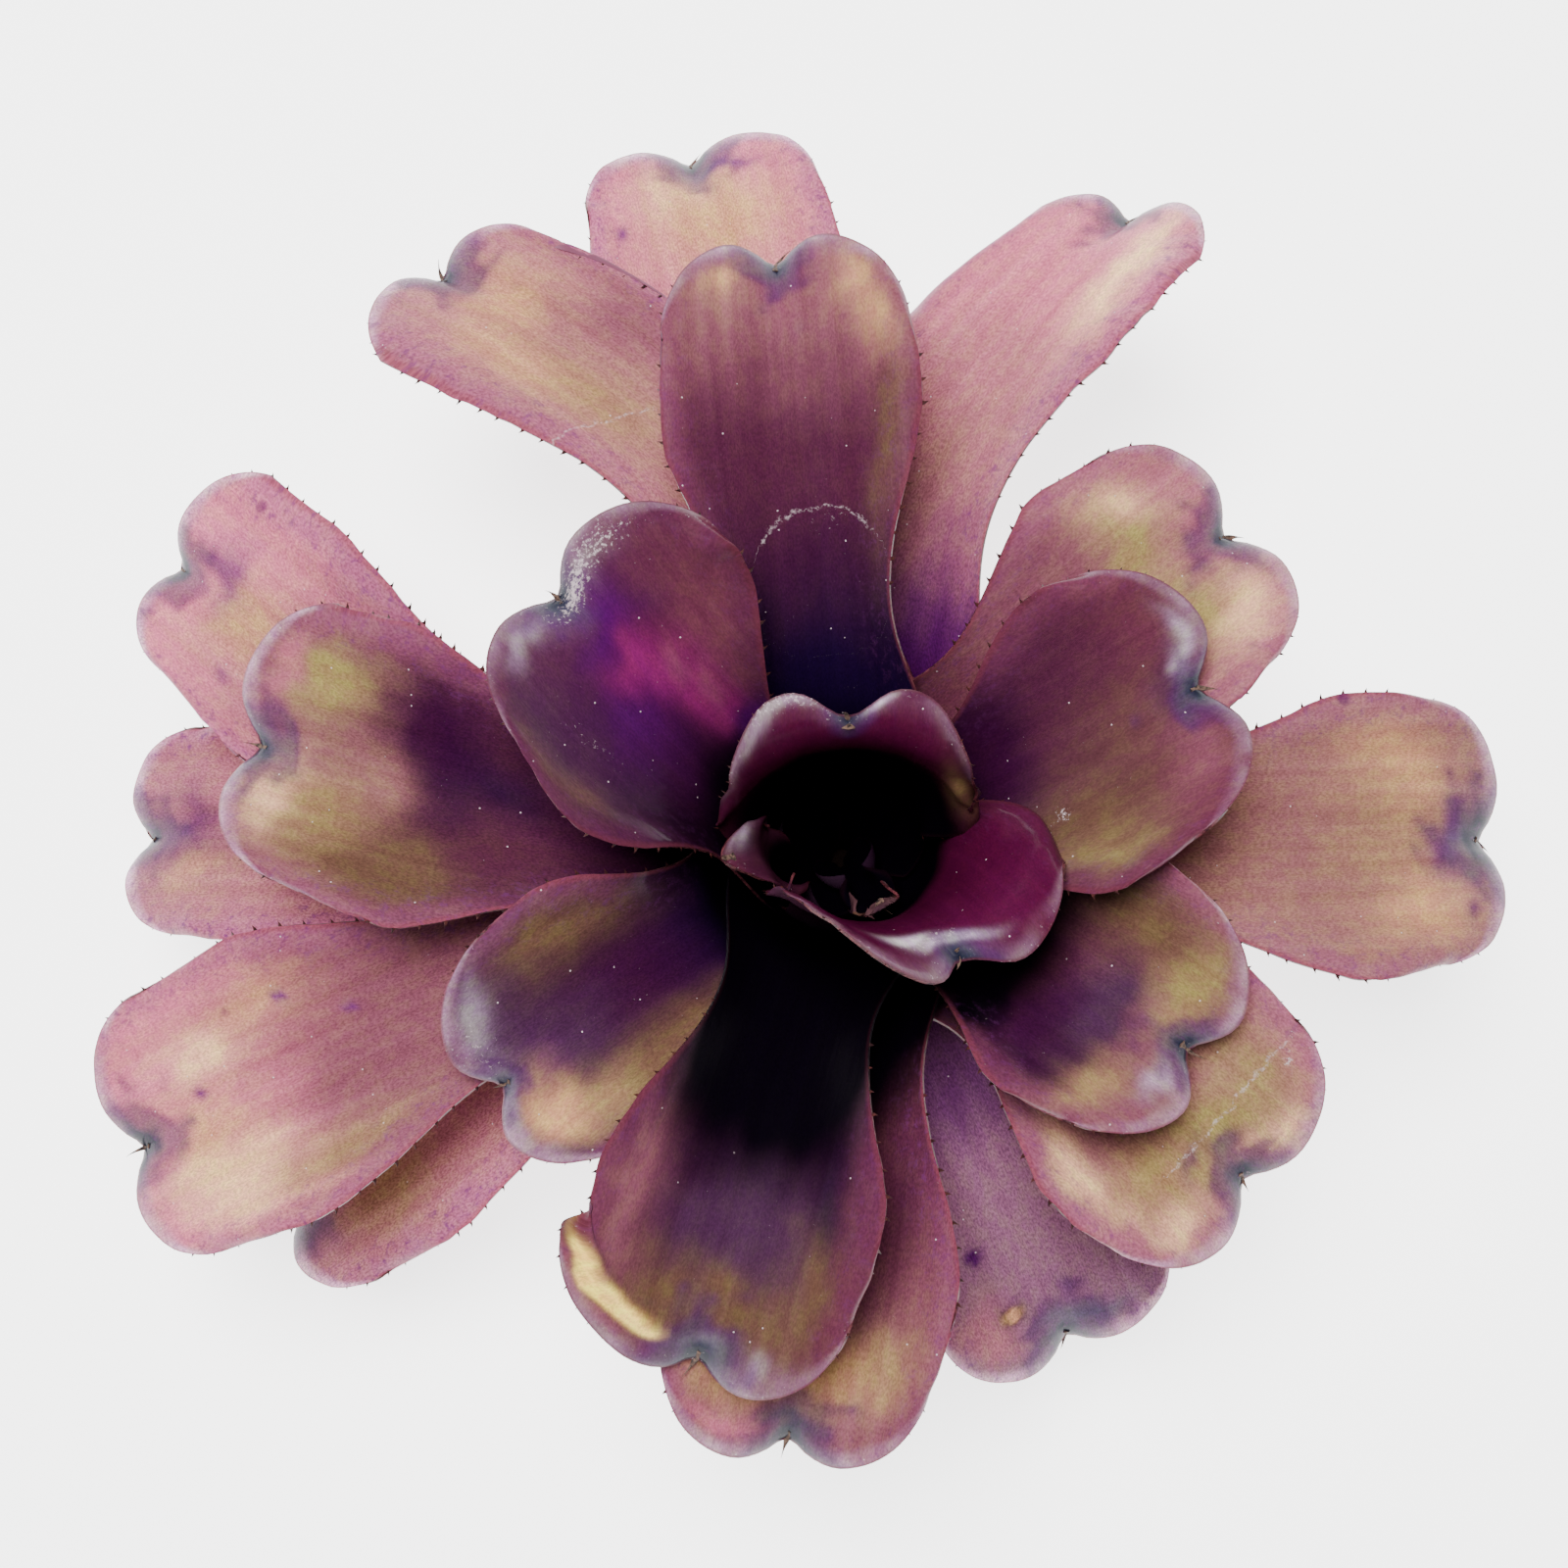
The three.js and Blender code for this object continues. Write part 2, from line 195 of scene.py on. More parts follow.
# %% The rows of the leaves, from the heart outwards
# A row has the way that a leaf points, the reach and height of its tip, how steeply it falls there, the width
# of its blade, the radius of its channel and the depth of its notch. What is its own alone comes last.
USUAL = {"sheath": 84, "waist": 50, "curl": 8, "pinch": 6.5, "round": 30, "sway": 0, "twist": 0}
COLUMNS = ("azimuth", "reach", "height", "fall", "width", "cup", "notch")
LEAF_ROWS = [
    (300, 20, 84, 10, 16, 8, 0, {"sheath": 44, "waist": 22, "curl": 0, "pinch": 0}),
    (206, 33, 142, 30, 22, 12, 0, {"sheath": 54, "waist": 26, "curl": 2, "pinch": 2, "sway": -8}),
    (92, 33, 160, 80, 92, 40, 10, {"waist": 74, "curl": 10, "pinch": -8, "round": 40}),
    (307, 53, 161, 55, 88, 48, 9, {"waist": 72, "twist": -30}),
    (160, 110, 150, 85, 90, 60, 8, {"sway": -18}),
    (11, 112, 148, 80, 88, 60, 9, {"sway": 10}),
    (254, 159, 135, 95, 82, 48, 6, {}),
    (100, 171, 145, 80, 76, 60, 7, {"sway": -3}),
    (326, 121, 134, 80, 82, 50, 9, {}),
    (217, 129, 128, 85, 78, 55, 8, {}),
    (38, 150, 125, 90, 84, 60, 8, {}),
    (269, 178, 112, 95, 80, 60, 6, {"sway": -5}),
    (180, 182, 118, 95, 88, 60, 8, {"sway": -9}),
    (319, 159, 108, 95, 90, 60, 7, {}),
    (-2, 202, 85, 98, 86, 70, 4, {"sway": 3}),
    (203, 238, 78, 100, 86, 70, 6, {}),
    (106, 226, 101, 98, 68, 60, 6, {"sway": 20}),
    (80, 232, 88, 95, 70, 60, 5, {"sway": -15, "twist": -28}),
    (171, 233, 85, 98, 74, 70, 5, {"sway": -15}),
    (102, 242, 76, 98, 80, 70, 4, {}),
    (295, 170, 60, 105, 80, 70, 5, {}),
    (178, 230, 55, 105, 70, 70, 5, {}),
    (213, 214, 45, 105, 66, 70, 4, {}),
]
LEAVES = [{**USUAL, **dict(zip(COLUMNS, row)), **row[-1]} for row in LEAF_ROWS]
widths = [row["width"] for row in LEAVES[2:]]
print(len(LEAVES), "leaves, full blades", min(widths), "to", max(widths), "mm wide")


# %% Small helpers for curves and easings
def smoothstep(x, start, stop):
    share = np.clip((x - start) / (stop - start), 0, 1)
    return share * share * (3 - 2 * share)


def bell(x, width):
    return np.exp(-((x / width) ** 2))


def keyed(u, keys):
    """A value that eases from key to key, each a (share of the length, value) pair."""
    value = keys[0][1]
    for (start, a), (stop, b) in zip(keys, keys[1:]):
        value = value + (b - a) * smoothstep(u, start, stop)
    return value


def heading(degrees):
    """A unit step in a leaf's upright plane, outwards and up, at an angle from upright."""
    return np.array([math.sin(math.radians(degrees)), math.cos(math.radians(degrees))])


def bezier(a, b, c, d, count=300):
    t = np.linspace(0, 1, count)[:, None]
    return a * (1 - t) ** 3 + 3 * b * t * (1 - t) ** 2 + 3 * c * t * t * (1 - t) + d * t**3


def lengths_along(path):
    return np.r_[0, np.cumsum(np.linalg.norm(np.diff(path, axis=0), axis=1))]


# %% The formula of one leaf
class Leaf:
    """One leaf: its midrib, and the place of any (u, q) on it, in millimetres."""

    def __init__(self, layer):
        self.row = LEAVES[layer]
        self.layer = layer
        self.age = layer / (len(LEAVES) - 1)
        self.sheath_radius = TUBE_RADIUS + SHEATH_PITCH * layer
        angles = np.linspace(math.pi / 2, 0, DOME_STEPS)
        dome = np.c_[DOME["radius"] * np.cos(angles), DOME["base"] + DOME["height"] * np.sin(angles)]
        gone = lengths_along(dome)
        angle = np.interp((layer + FIRST_FOOT) / len(LEAVES) * gone[-1], gone, angles)
        outwards = np.array([DOME["height"] * math.cos(angle), DOME["radius"] * math.sin(angle)])
        outwards /= np.linalg.norm(outwards)
        up_dome = DOME["base"] + DOME["height"] * math.sin(angle)
        foot = np.array([DOME["radius"] * math.cos(angle), up_dome]) + outwards * FOOT_GAP
        collar = np.array([self.sheath_radius, np.interp(self.age, (0, 1), COLLAR_HEIGHTS)])
        tip = np.array([self.row["reach"], self.row["height"]], float)
        lean = heading(np.interp(self.age, (0, 1), COLLAR_LEANS))
        spread, climb = collar - foot
        chord = np.linalg.norm(collar - tip)
        leaving, arriving = outwards * HOLDS["foot"] * spread, lean * HOLDS["below"] * climb
        sheath = bezier(foot, foot + leaving, collar - arriving, collar)
        fall = heading(self.row["fall"])
        blade = bezier(collar, collar + lean * HOLDS["above"] * chord, tip - fall * HOLDS["tip"] * chord, tip)
        self.path = np.r_[sheath, blade[1:]]
        gone = lengths_along(self.path)
        self.length = gone[-1]
        self.shares = gone / self.length
        self.ways = np.gradient(self.path, gone, axis=0)
        self.foot_radius = foot[0]

    def half_width(self, u):
        row = self.row
        half = row["width"] / 2
        keys = [(0, FOOT_WRAP * self.foot_radius), (SHEATH_AT, row["sheath"] / 2)]
        keys += [(WAIST_AT, row["waist"] / 2), (BROADEST_AT, half), (1, END_WIDTH * half)]
        return keyed(u, keys)

    def share(self, u, q):
        """How far along the midrib a point lies: the end has round corners and a notch in its middle."""
        corner = 1 - np.sqrt(np.maximum(0, 1 - np.abs(q) ** TIP_SQUARENESS))
        cut = self.row["round"] * corner + self.row["notch"] * bell(q, NOTCH_WIDTH)
        return np.clip(u - cut * u**4 / self.length, 0, 1)

    def place(self, u, q, cut=None):
        """The middle of the leaf's thickness at (u, q). The end may be cut as at another place across."""
        row = self.row
        u, q = np.broadcast_arrays(np.asarray(u, float), np.asarray(q, float))
        share = self.share(u, q if cut is None else cut)
        x, y, way_x, way_y = (
            np.interp(share, self.shares, column) for column in (*self.path.T, *self.ways.T)
        )
        across = q * np.minimum(self.half_width(u), MOST_WRAP * x)
        wrapped = np.stack([np.cos(across / x) * x, np.sin(across / x) * x, y], -1)

        throat = 1 / min(THROAT_CUP * row["cup"], self.sheath_radius)
        keys = [(OPENING[0], 1 / self.sheath_radius), (OPENING[1], throat), (BROADEST_AT, 1 / row["cup"])]
        bend = keyed(u, keys + [(1, END_BEND / row["cup"])])
        side = np.sin(bend * across) / bend
        lift = (1 - np.cos(bend * across)) / bend
        twist = math.radians(row["twist"]) * smoothstep(u, *TWISTING)
        end = np.clip((share - CURL_FROM) / (1 - CURL_FROM), 0, 1) ** 2
        sunk = end * (row["curl"] + row["pinch"] * bell(q, PINCH_WIDTH))
        phase = WAVE_RATE * u + WAVE_SHIFT * (self.layer + np.where(q > 0, 0, 1))
        wave = WAVE * np.sin(phase) * np.abs(q) ** 3 * smoothstep(u, *WAVING)
        sideways = side * np.cos(twist) - lift * np.sin(twist)
        up = side * np.sin(twist) + lift * np.cos(twist) - sunk + wave
        channel = np.stack([x - way_y * up, sideways, y + way_x * up], -1)

        open_share = smoothstep(u, *OPENING)[..., None]
        spot = wrapped * (1 - open_share) + channel * open_share
        turn = math.radians(row["sway"]) * smoothstep(u, *SWAYING) + math.radians(row["azimuth"])
        cos, sin = np.cos(turn), np.sin(turn)
        x, y = spot[..., 0], spot[..., 1]
        return np.stack([x * cos - y * sin, x * sin + y * cos, spot[..., 2]], -1)

    def facing(self, u, q, step=0.004):
        """The way that the upper face looks at (u, q), as a unit vector."""
        along = self.place(np.minimum(u + step, 1), q) - self.place(u - step, q)
        across = self.place(u, q + step, q) - self.place(u, q - step, q)
        normal = np.cross(along, across)
        return normal / np.linalg.norm(normal, axis=-1, keepdims=True)


print("the longest leaf is", round(max(Leaf(n).length for n in range(len(LEAVES)))), "mm along its midrib")


# %% [markdown]
# ## The colours of the leaves
# On the real plant no leaf has one colour. Each is dark in the throat, plum or mauve along its blade, olive
# in soft patches near its end, and has a slate blue spot with a violet ring at its tip. A picture could be
# wrapped on each leaf, but then the pattern would be fixed to one size. Instead each leaf is painted with
# soft dabs at places along and across it, kept as a colour on each point of the mesh, and the material
# breaks them up with streaks, mottling and specks.
# The throat's black is the dark base under painted shade, and the pale tip edges are painted sheen.

# %% A tone as it is on a screen, made linear as the materials want it
def linear(level):
    share = level / 255
    return ((share + 0.055) / 1.055) ** 2.4 if level > 10 else share / 12.92


def srgb(red, green, blue):
    return linear(red), linear(green), linear(blue)


# %% The palette of pigments
PALETTE = {
    "black": (5, 2, 8),
    "ink": (20, 4, 38),
    "plum": (46, 8, 40),
    "garnet": (62, 6, 38),
    "wine": (68, 28, 48),
    "maroon": (84, 40, 54),
    "rose": (114, 66, 76),
    "russet": (134, 90, 84),
    "mauve": (156, 94, 102),
    "pink": (198, 108, 126),
    "lilac": (120, 80, 100),
    "violet": (64, 4, 72),
    "orchid": (96, 42, 98),
    "magenta": (110, 24, 78),
    "olive": (138, 110, 74),
    "lime": (134, 114, 70),
    "moss": (88, 64, 48),
    "sand": (190, 140, 98),
    "straw": (232, 184, 136),
    "slate": (60, 66, 84),
    "steel": (20, 24, 38),
    "cream": (250, 212, 108),
    "dusk": (60, 32, 56),
    # Painted sheen over waxy bloom, for the tips of young leaves.
    "frost": (190, 172, 186),
    "young_rim": (76, 24, 46),
    "old_rim": (160, 90, 122),
    # Painted sheen over waxy bloom, for the tips of old leaves.
    "old_sheen_and_bloom": (232, 178, 204),
}


def pigment(name):
    return np.array(srgb(*PALETTE[name]))


print(len(PALETTE), "pigments")

# %% The look of each leaf
# First the colours in the throat, on the blade and near the end, then how far up the leaf its throat stays
# black, which is its dark base under painted shade, the size of the dark mark at its tip in millimetres, and
# its dabs. A dab is a colour, its place along and across, its size along and across, and its strength. A
# strength above 1 gives a dab a firm edge. Some dabs near the tips are painted sheen over waxy bloom, and a
# few black ones are painted shade.
LOOKS = {
    # Leaf 1 sits deep in the cup: black nearly to its tip, its dark base under painted shade.
    1: ("black", "black", "moss", 0.9, 0, []),
    2: ("black", "wine", "wine", 0.6, 0, [("frost", 0.97, -0.5, 0.05, 0.3, 0.8)]),
    3: ("black", "garnet", "garnet", 0.8, 3, [
        ("olive", 0.85, -0.9, 0.1, 0.14, 1.2), ("plum", 1.0, -0.4, 0.03, 0.5, 0.7),
        ("frost", 0.98, 0.4, 0.018, 0.3, 1), ("frost", 0.99, -0.2, 0.01, 0.1, 0.8),
        ("wine", 0.97, 0.85, 0.05, 0.2, 0.5)]),
    4: ("garnet", "garnet", "garnet", 0.52, 4, [
        ("magenta", 0.84, 0.3, 0.12, 0.5, 0.15), ("frost", 0.93, 0, 0.014, 0.2, 1.6),
        ("frost", 0.905, -0.3, 0.014, 0.14, 1.4)]),
    5: ("black", "plum", "wine", 0.5, 5, [
        ("maroon", 0.74, -0.85, 0.14, 0.4, 1.6), ("violet", 0.86, -0.12, 0.06, 0.3, 1),
        # The diagonal band of magenta and rose dabs is a painted patch of sunlight through a gap in the
        # leaves.
        ("magenta", 0.77, -0.1, 0.05, 0.2, 1.3), ("magenta", 0.7, -0.26, 0.05, 0.2, 1.5),
        ("magenta", 0.63, -0.42, 0.05, 0.18, 1.5), ("magenta", 0.57, -0.56, 0.04, 0.18, 1.3),
        ("rose", 0.7, -0.34, 0.04, 0.07, 0.6), ("rose", 0.63, -0.5, 0.04, 0.08, 0.5),
        ("violet", 0.68, 0.2, 0.1, 0.28, 1.2), ("plum", 0.6, 0.35, 0.1, 0.5, 0.8),
        ("dusk", 0.86, 0.7, 0.14, 0.4, 0.9), ("moss", 0.82, 0.85, 0.1, 0.12, 0.6),
        ("frost", 0.94, -0.2, 0.025, 0.3, 0.3), ("frost", 0.96, 0.3, 0.02, 0.2, 0.4),
        # The black dab carries the throat's black, dark base under painted shade, further along one side.
        ("violet", 0.52, -0.8, 0.05, 0.25, 1.2), ("black", 0.56, 0.8, 0.12, 0.4, 0.6)]),
    6: ("ink", "wine", "maroon", 0.44, 5, [
        ("lime", 0.72, -0.72, 0.09, 0.18, 0.8), ("moss", 0.66, -0.5, 0.16, 0.35, 0.9),
        ("plum", 0.53, 0.4, 0.1, 0.8, 1.2), ("dusk", 0.92, 0.05, 0.05, 0.25, 0.8),
        ("frost", 0.955, 0.34, 0.022, 0.2, 0.8), ("moss", 0.8, 0, 0.1, 0.3, 0.4),
        ("rose", 0.92, -0.45, 0.06, 0.25, 0.8)]),
    7: ("black", "plum", "maroon", 0.71, 6, [
        ("dusk", 0.78, 0.1, 0.1, 0.55, 1.6), ("moss", 0.89, -0.1, 0.05, 0.5, 1.4),
        ("rose", 0.78, -0.8, 0.12, 0.22, 1.2), ("moss", 0.92, 0.3, 0.05, 0.4, 0.8),
        ("ink", 0.76, 0.62, 0.07, 0.12, 1), ("moss", 0.84, 0.62, 0.08, 0.2, 1),
        ("maroon", 0.8, 0.92, 0.2, 0.12, 0.8), ("frost", 0.97, 0.2, 0.02, 0.35, 0.6),
        ("mauve", 0.985, -0.9, 0.02, 0.3, 1), ("cream", 0.94, -0.95, 0.018, 0.1, 4),
        ("cream", 0.934, -0.78, 0.016, 0.12, 4), ("cream", 0.938, -0.58, 0.011, 0.14, 3),
        ("cream", 0.947, -0.4, 0.008, 0.1, 1.5)]),
    8: ("ink", "wine", "rose", 0.3, 5, [
        ("moss", 0.72, -0.85, 0.14, 0.14, 1), ("sand", 0.92, -0.72, 0.05, 0.2, 0.7),
        ("russet", 0.93, 0.4, 0.04, 0.4, 0.8), ("plum", 0.55, 0.1, 0.06, 0.8, 0.5),
        ("sand", 0.96, 0.45, 0.02, 0.25, 0.7), ("magenta", 0.93, 0, 0.03, 0.12, 0.35)]),
    9: ("black", "wine", "rose", 0.66, 5, [
        # This black dab is painted shade, where the leaves of the heart shade the side of the throat.
        ("black", 0.62, -0.75, 0.08, 0.35, 2), ("plum", 0.75, -0.4, 0.07, 0.5, 1.6),
        ("dusk", 0.8, -0.1, 0.06, 0.4, 1.2),
        ("lime", 0.91, 0.42, 0.06, 0.28, 1.3), ("moss", 0.78, 0.6, 0.12, 0.25, 1.1),
        ("olive", 0.92, 0.05, 0.03, 0.2, 0.8), ("olive", 0.86, -0.7, 0.05, 0.3, 0.9),
        ("frost", 0.95, -0.3, 0.03, 0.18, 0.6)]),
    10: ("ink", "plum", "dusk", 0.46, 4, [
        ("moss", 0.74, -0.72, 0.14, 0.24, 1.1), ("moss", 0.68, 0.6, 0.12, 0.25, 1.2),
        ("olive", 0.84, 0.6, 0.08, 0.25, 0.9), ("dusk", 0.8, 0, 0.1, 0.3, 0.8),
        ("violet", 0.89, 0.05, 0.035, 0.2, 0.4), ("frost", 0.94, -0.5, 0.03, 0.3, 0.35),
        ("sand", 0.92, 0.45, 0.04, 0.3, 0.9), ("frost", 0.97, 0.1, 0.015, 0.4, 0.6)]),
    11: ("maroon", "rose", "mauve", 0.34, 6, [
        ("lime", 0.8, 0.3, 0.06, 0.38, 1), ("straw", 0.9, -0.5, 0.06, 0.3, 0.8),
        ("straw", 0.84, 0.6, 0.05, 0.2, 0.7),
        ("lime", 0.83, -0.3, 0.06, 0.3, 1), ("russet", 0.88, 0.12, 0.04, 0.25, 0.8),
        ("maroon", 0.7, -0.2, 0.06, 0.6, 0.4)]),
    12: ("black", "maroon", "rose", 0.55, 6, [
        ("wine", 0.62, 0.8, 0.1, 0.3, 1), ("sand", 0.88, -0.1, 0.05, 0.7, 0.9),
        ("olive", 0.86, 0.55, 0.05, 0.2, 0.9), ("orchid", 0.93, 0, 0.02, 0.4, 0.6),
        ("moss", 0.8, -0.5, 0.12, 0.3, 0.7), ("rose", 0.8, 0.8, 0.12, 0.2, 0.5),
        ("pink", 0.96, -0.5, 0.03, 0.3, 0.6), ("violet", 0.55, -0.7, 0.1, 0.3, 0.5)]),
    13: ("plum", "wine", "rose", 0.38, 6, [
        ("lime", 0.86, -0.55, 0.06, 0.24, 1.3), ("straw", 0.92, 0.3, 0.05, 0.3, 0.8),
        ("olive", 0.84, 0.4, 0.06, 0.3, 1.1), ("moss", 0.74, 0.6, 0.12, 0.35, 1.3),
        ("plum", 0.7, -0.35, 0.08, 0.5, 1.2), ("pink", 0.94, -0.6, 0.03, 0.2, 0.5),
        ("ink", 0.6, -0.15, 0.07, 0.3, 0.7), ("russet", 0.79, 0, 0.05, 0.25, 0.7),
        ("wine", 0.6, 0.6, 0.06, 0.4, 0.8)]),
    14: ("plum", "rose", "mauve", 0.46, 6, [
        ("lime", 0.88, 0.1, 0.06, 0.5, 1.1), ("olive", 0.83, -0.4, 0.07, 0.35, 1.1),
        ("straw", 0.77, -0.8, 0.08, 0.13, 0.8),
        ("maroon", 0.7, 0.2, 0.07, 0.8, 0.7), ("straw", 0.92, -0.55, 0.03, 0.2, 0.7),
        ("lime", 0.84, 0.55, 0.06, 0.25, 0.8), ("straw", 0.94, 0.4, 0.025, 0.2, 0.8)]),
    15: ("maroon", "russet", "russet", 0.3, 8, [
        ("sand", 0.84, 0.5, 0.08, 0.35, 0.8), ("olive", 0.8, 0, 0.1, 0.4, 0.5),
        ("sand", 0.87, -0.5, 0.06, 0.3, 0.8), ("rose", 0.7, 0.1, 0.07, 0.6, 0.5),
        ("orchid", 0.925, 0, 0.03, 0.35, 0.9), ("violet", 0.94, -0.55, 0.012, 0.08, 0.8)]),
    16: ("maroon", "rose", "pink", 0.3, 7, [
        ("olive", 0.74, 0.65, 0.1, 0.22, 1), ("straw", 0.87, 0.5, 0.06, 0.3, 1),
        ("sand", 0.88, 0.2, 0.05, 0.3, 0.8), ("straw", 0.84, -0.4, 0.05, 0.2, 0.9),
        ("rose", 0.66, 0.1, 0.1, 0.5, 0.8), ("sand", 0.76, -0.6, 0.06, 0.2, 0.6),
        ("orchid", 0.73, -0.55, 0.008, 0.05, 1.2), ("orchid", 0.66, -0.3, 0.008, 0.04, 1),
        ("orchid", 0.87, -0.15, 0.008, 0.045, 1)]),
    17: ("rose", "mauve", "mauve", 0.24, 6, [
        ("sand", 0.88, -0.1, 0.06, 0.4, 0.9), ("olive", 0.7, 0.3, 0.12, 0.4, 0.8),
        ("sand", 0.8, 0.5, 0.1, 0.3, 0.6), ("rose", 0.75, -0.5, 0.1, 0.4, 0.9)]),
    18: ("violet", "mauve", "pink", 0.2, 6, [
        ("straw", 0.86, -0.6, 0.1, 0.18, 1), ("violet", 0.32, 0, 0.06, 1, 0.8),
        ("russet", 0.56, -0.1, 0.1, 0.4, 0.6), ("mauve", 0.66, 0.3, 0.06, 0.5, 0.7)]),
    19: ("maroon", "rose", "pink", 0.3, 6, [
        ("sand", 0.87, 0, 0.05, 0.35, 1), ("olive", 0.78, 0.1, 0.08, 0.4, 0.8),
        ("orchid", 0.91, -0.25, 0.035, 0.35, 0.8),
        ("mauve", 0.8, 0.6, 0.1, 0.3, 0.8), ("orchid", 0.84, 0.5, 0.012, 0.05, 0.8)]),
    20: ("rose", "mauve", "pink", 0.24, 6, [
        ("straw", 0.9, 0.1, 0.04, 0.35, 0.9), ("sand", 0.86, -0.1, 0.08, 0.5, 0.9),
        ("orchid", 0.955, -0.25, 0.018, 0.35, 1), ("orchid", 0.86, 0.72, 0.012, 0.05, 1)]),
    21: ("orchid", "lilac", "lilac", 0.3, 7, [
        ("slate", 0.95, 0.3, 0.025, 0.25, 0.7), ("violet", 0.5, 0, 0.1, 1, 0.7),
        ("mauve", 0.9, -0.6, 0.06, 0.3, 0.9), ("ink", 0.87, -0.35, 0.014, 0.08, 2.5),
        ("sand", 0.87, -0.35, 0.009, 0.05, 3), ("violet", 0.75, -0.45, 0.012, 0.06, 2)]),
    22: ("maroon", "mauve", "mauve", 0.3, 6, [
        ("russet", 0.84, 0.2, 0.06, 0.4, 0.6), ("violet", 0.9, -0.05, 0.05, 0.4, 0.8),
        ("sand", 0.88, 0.35, 0.03, 0.2, 0.5)]),
    23: ("maroon", "mauve", "mauve", 0.3, 6, [
        ("olive", 0.8, 0.3, 0.08, 0.35, 0.8), ("violet", 0.92, 0.2, 0.04, 0.3, 0.7)]),
}
print("dabs:", sum(len(look[-1]) for look in LOOKS.values()))

# %% Where pale scurf and painted sheen lie, and the old scars, by leaf
# A patch is its place along and across, its size along and across, and its strength. The patches at the tips
# of leaves 3, 4, 5 and 10 are painted sheen, the others scurf. A scar is an arc: its middle along and across,
# its radius and its half length in millimetres, and the way that it bulges.
SCURF_AND_SHEEN = {
    3: [(0.985, 0.4, 0.02, 0.3, 0.5)],
    4: [(0.92, -0.1, 0.025, 0.35, 0.7)],
    5: [(0.95, -0.1, 0.03, 0.25, 1), (0.95, -0.5, 0.03, 0.3, 0.7), (0.76, 0.45, 0.08, 0.07, 0.45)],
    6: [(0.65, -0.4, 0.02, 0.07, 1), (0.62, -0.55, 0.02, 0.08, 0.8)],
    8: [(0.6, -0.35, 0.015, 0.3, 0.45)],
    10: [(0.95, -0.4, 0.03, 0.4, 0.5)],
    14: [(0.9, 0.75, 0.02, 0.08, 0.9)],
    17: [(0.98, 0.3, 0.03, 0.4, 0.4)],
}
SCARS = {
    8: (0.615, -0.15, 22, 19, 1),
    14: (0.85, 0.25, 300, 26, 1),
    17: (0.66, 0.5, 60, 17, 1),
}

# %% Soft noises and blends
def blend(base, over, amount):
    amount = np.clip(amount, 0, 1)[:, None]
    return base * (1 - amount) + over * amount


def wander(points, size, seed):
    """A soft random value from -1 to 1 at each point, which keeps its sign over about the size given."""
    places = np.reshape(points, (-1, 3)) / size + (seed, 2 * seed, 0)
    return np.reshape([noise.noise(place) for place in places], np.shape(points)[:-1])


def dab(u, q, at_u, at_q, size_u, size_q):
    return bell(u - at_u, size_u) * bell(q - at_q, size_q)


# %% [markdown]
# ## Laying the paint
# Each point of a leaf starts with the colour of its third of the blade, gets a rim colour near the margin,
# then its dabs, the black of the throat, which is its dark base under painted shade, and at last the pale
# edge, a painted sheen over waxy bloom, and the dark mark of the tip. Soft noise shifts where each point
# thinks it lies, so that no border runs straight. A small dab isn't shifted, because it would be torn apart.

# %% Paint one leaf's colours at its points
STREAK = (0.16, 0.02)
DRIFT_SIZE = 22 * MM
BLOTCH_SIZE = 9 * MM
DRIFT = (0.03, 0.12)
STREAK_DRIFT = 0.025
BLOTCH_DRIFT = (0.02, 0.07)
SMALL_DAB = 0.015
COLOUR_KEYS = (0.42, 0.76, 0.92)
EARLIER = (0.17, 0.22, 0)
DARK_FADE = 0.07
WALLS_LIT = 0.1
RIM_BAND = (9, 2)
SHEEN_AND_BLOOM_BAND = (8, 1)
MARK_ALONG = 2.2
MARK_ACROSS = 1.5
HALO_AT = 1.2
HALO_WIDTH = 0.4
RIM_SHEEN = 0.3
RIM_SHEEN_BAND = (7, 1)
NO_SCAR = 50.0
SCAR_END = 3


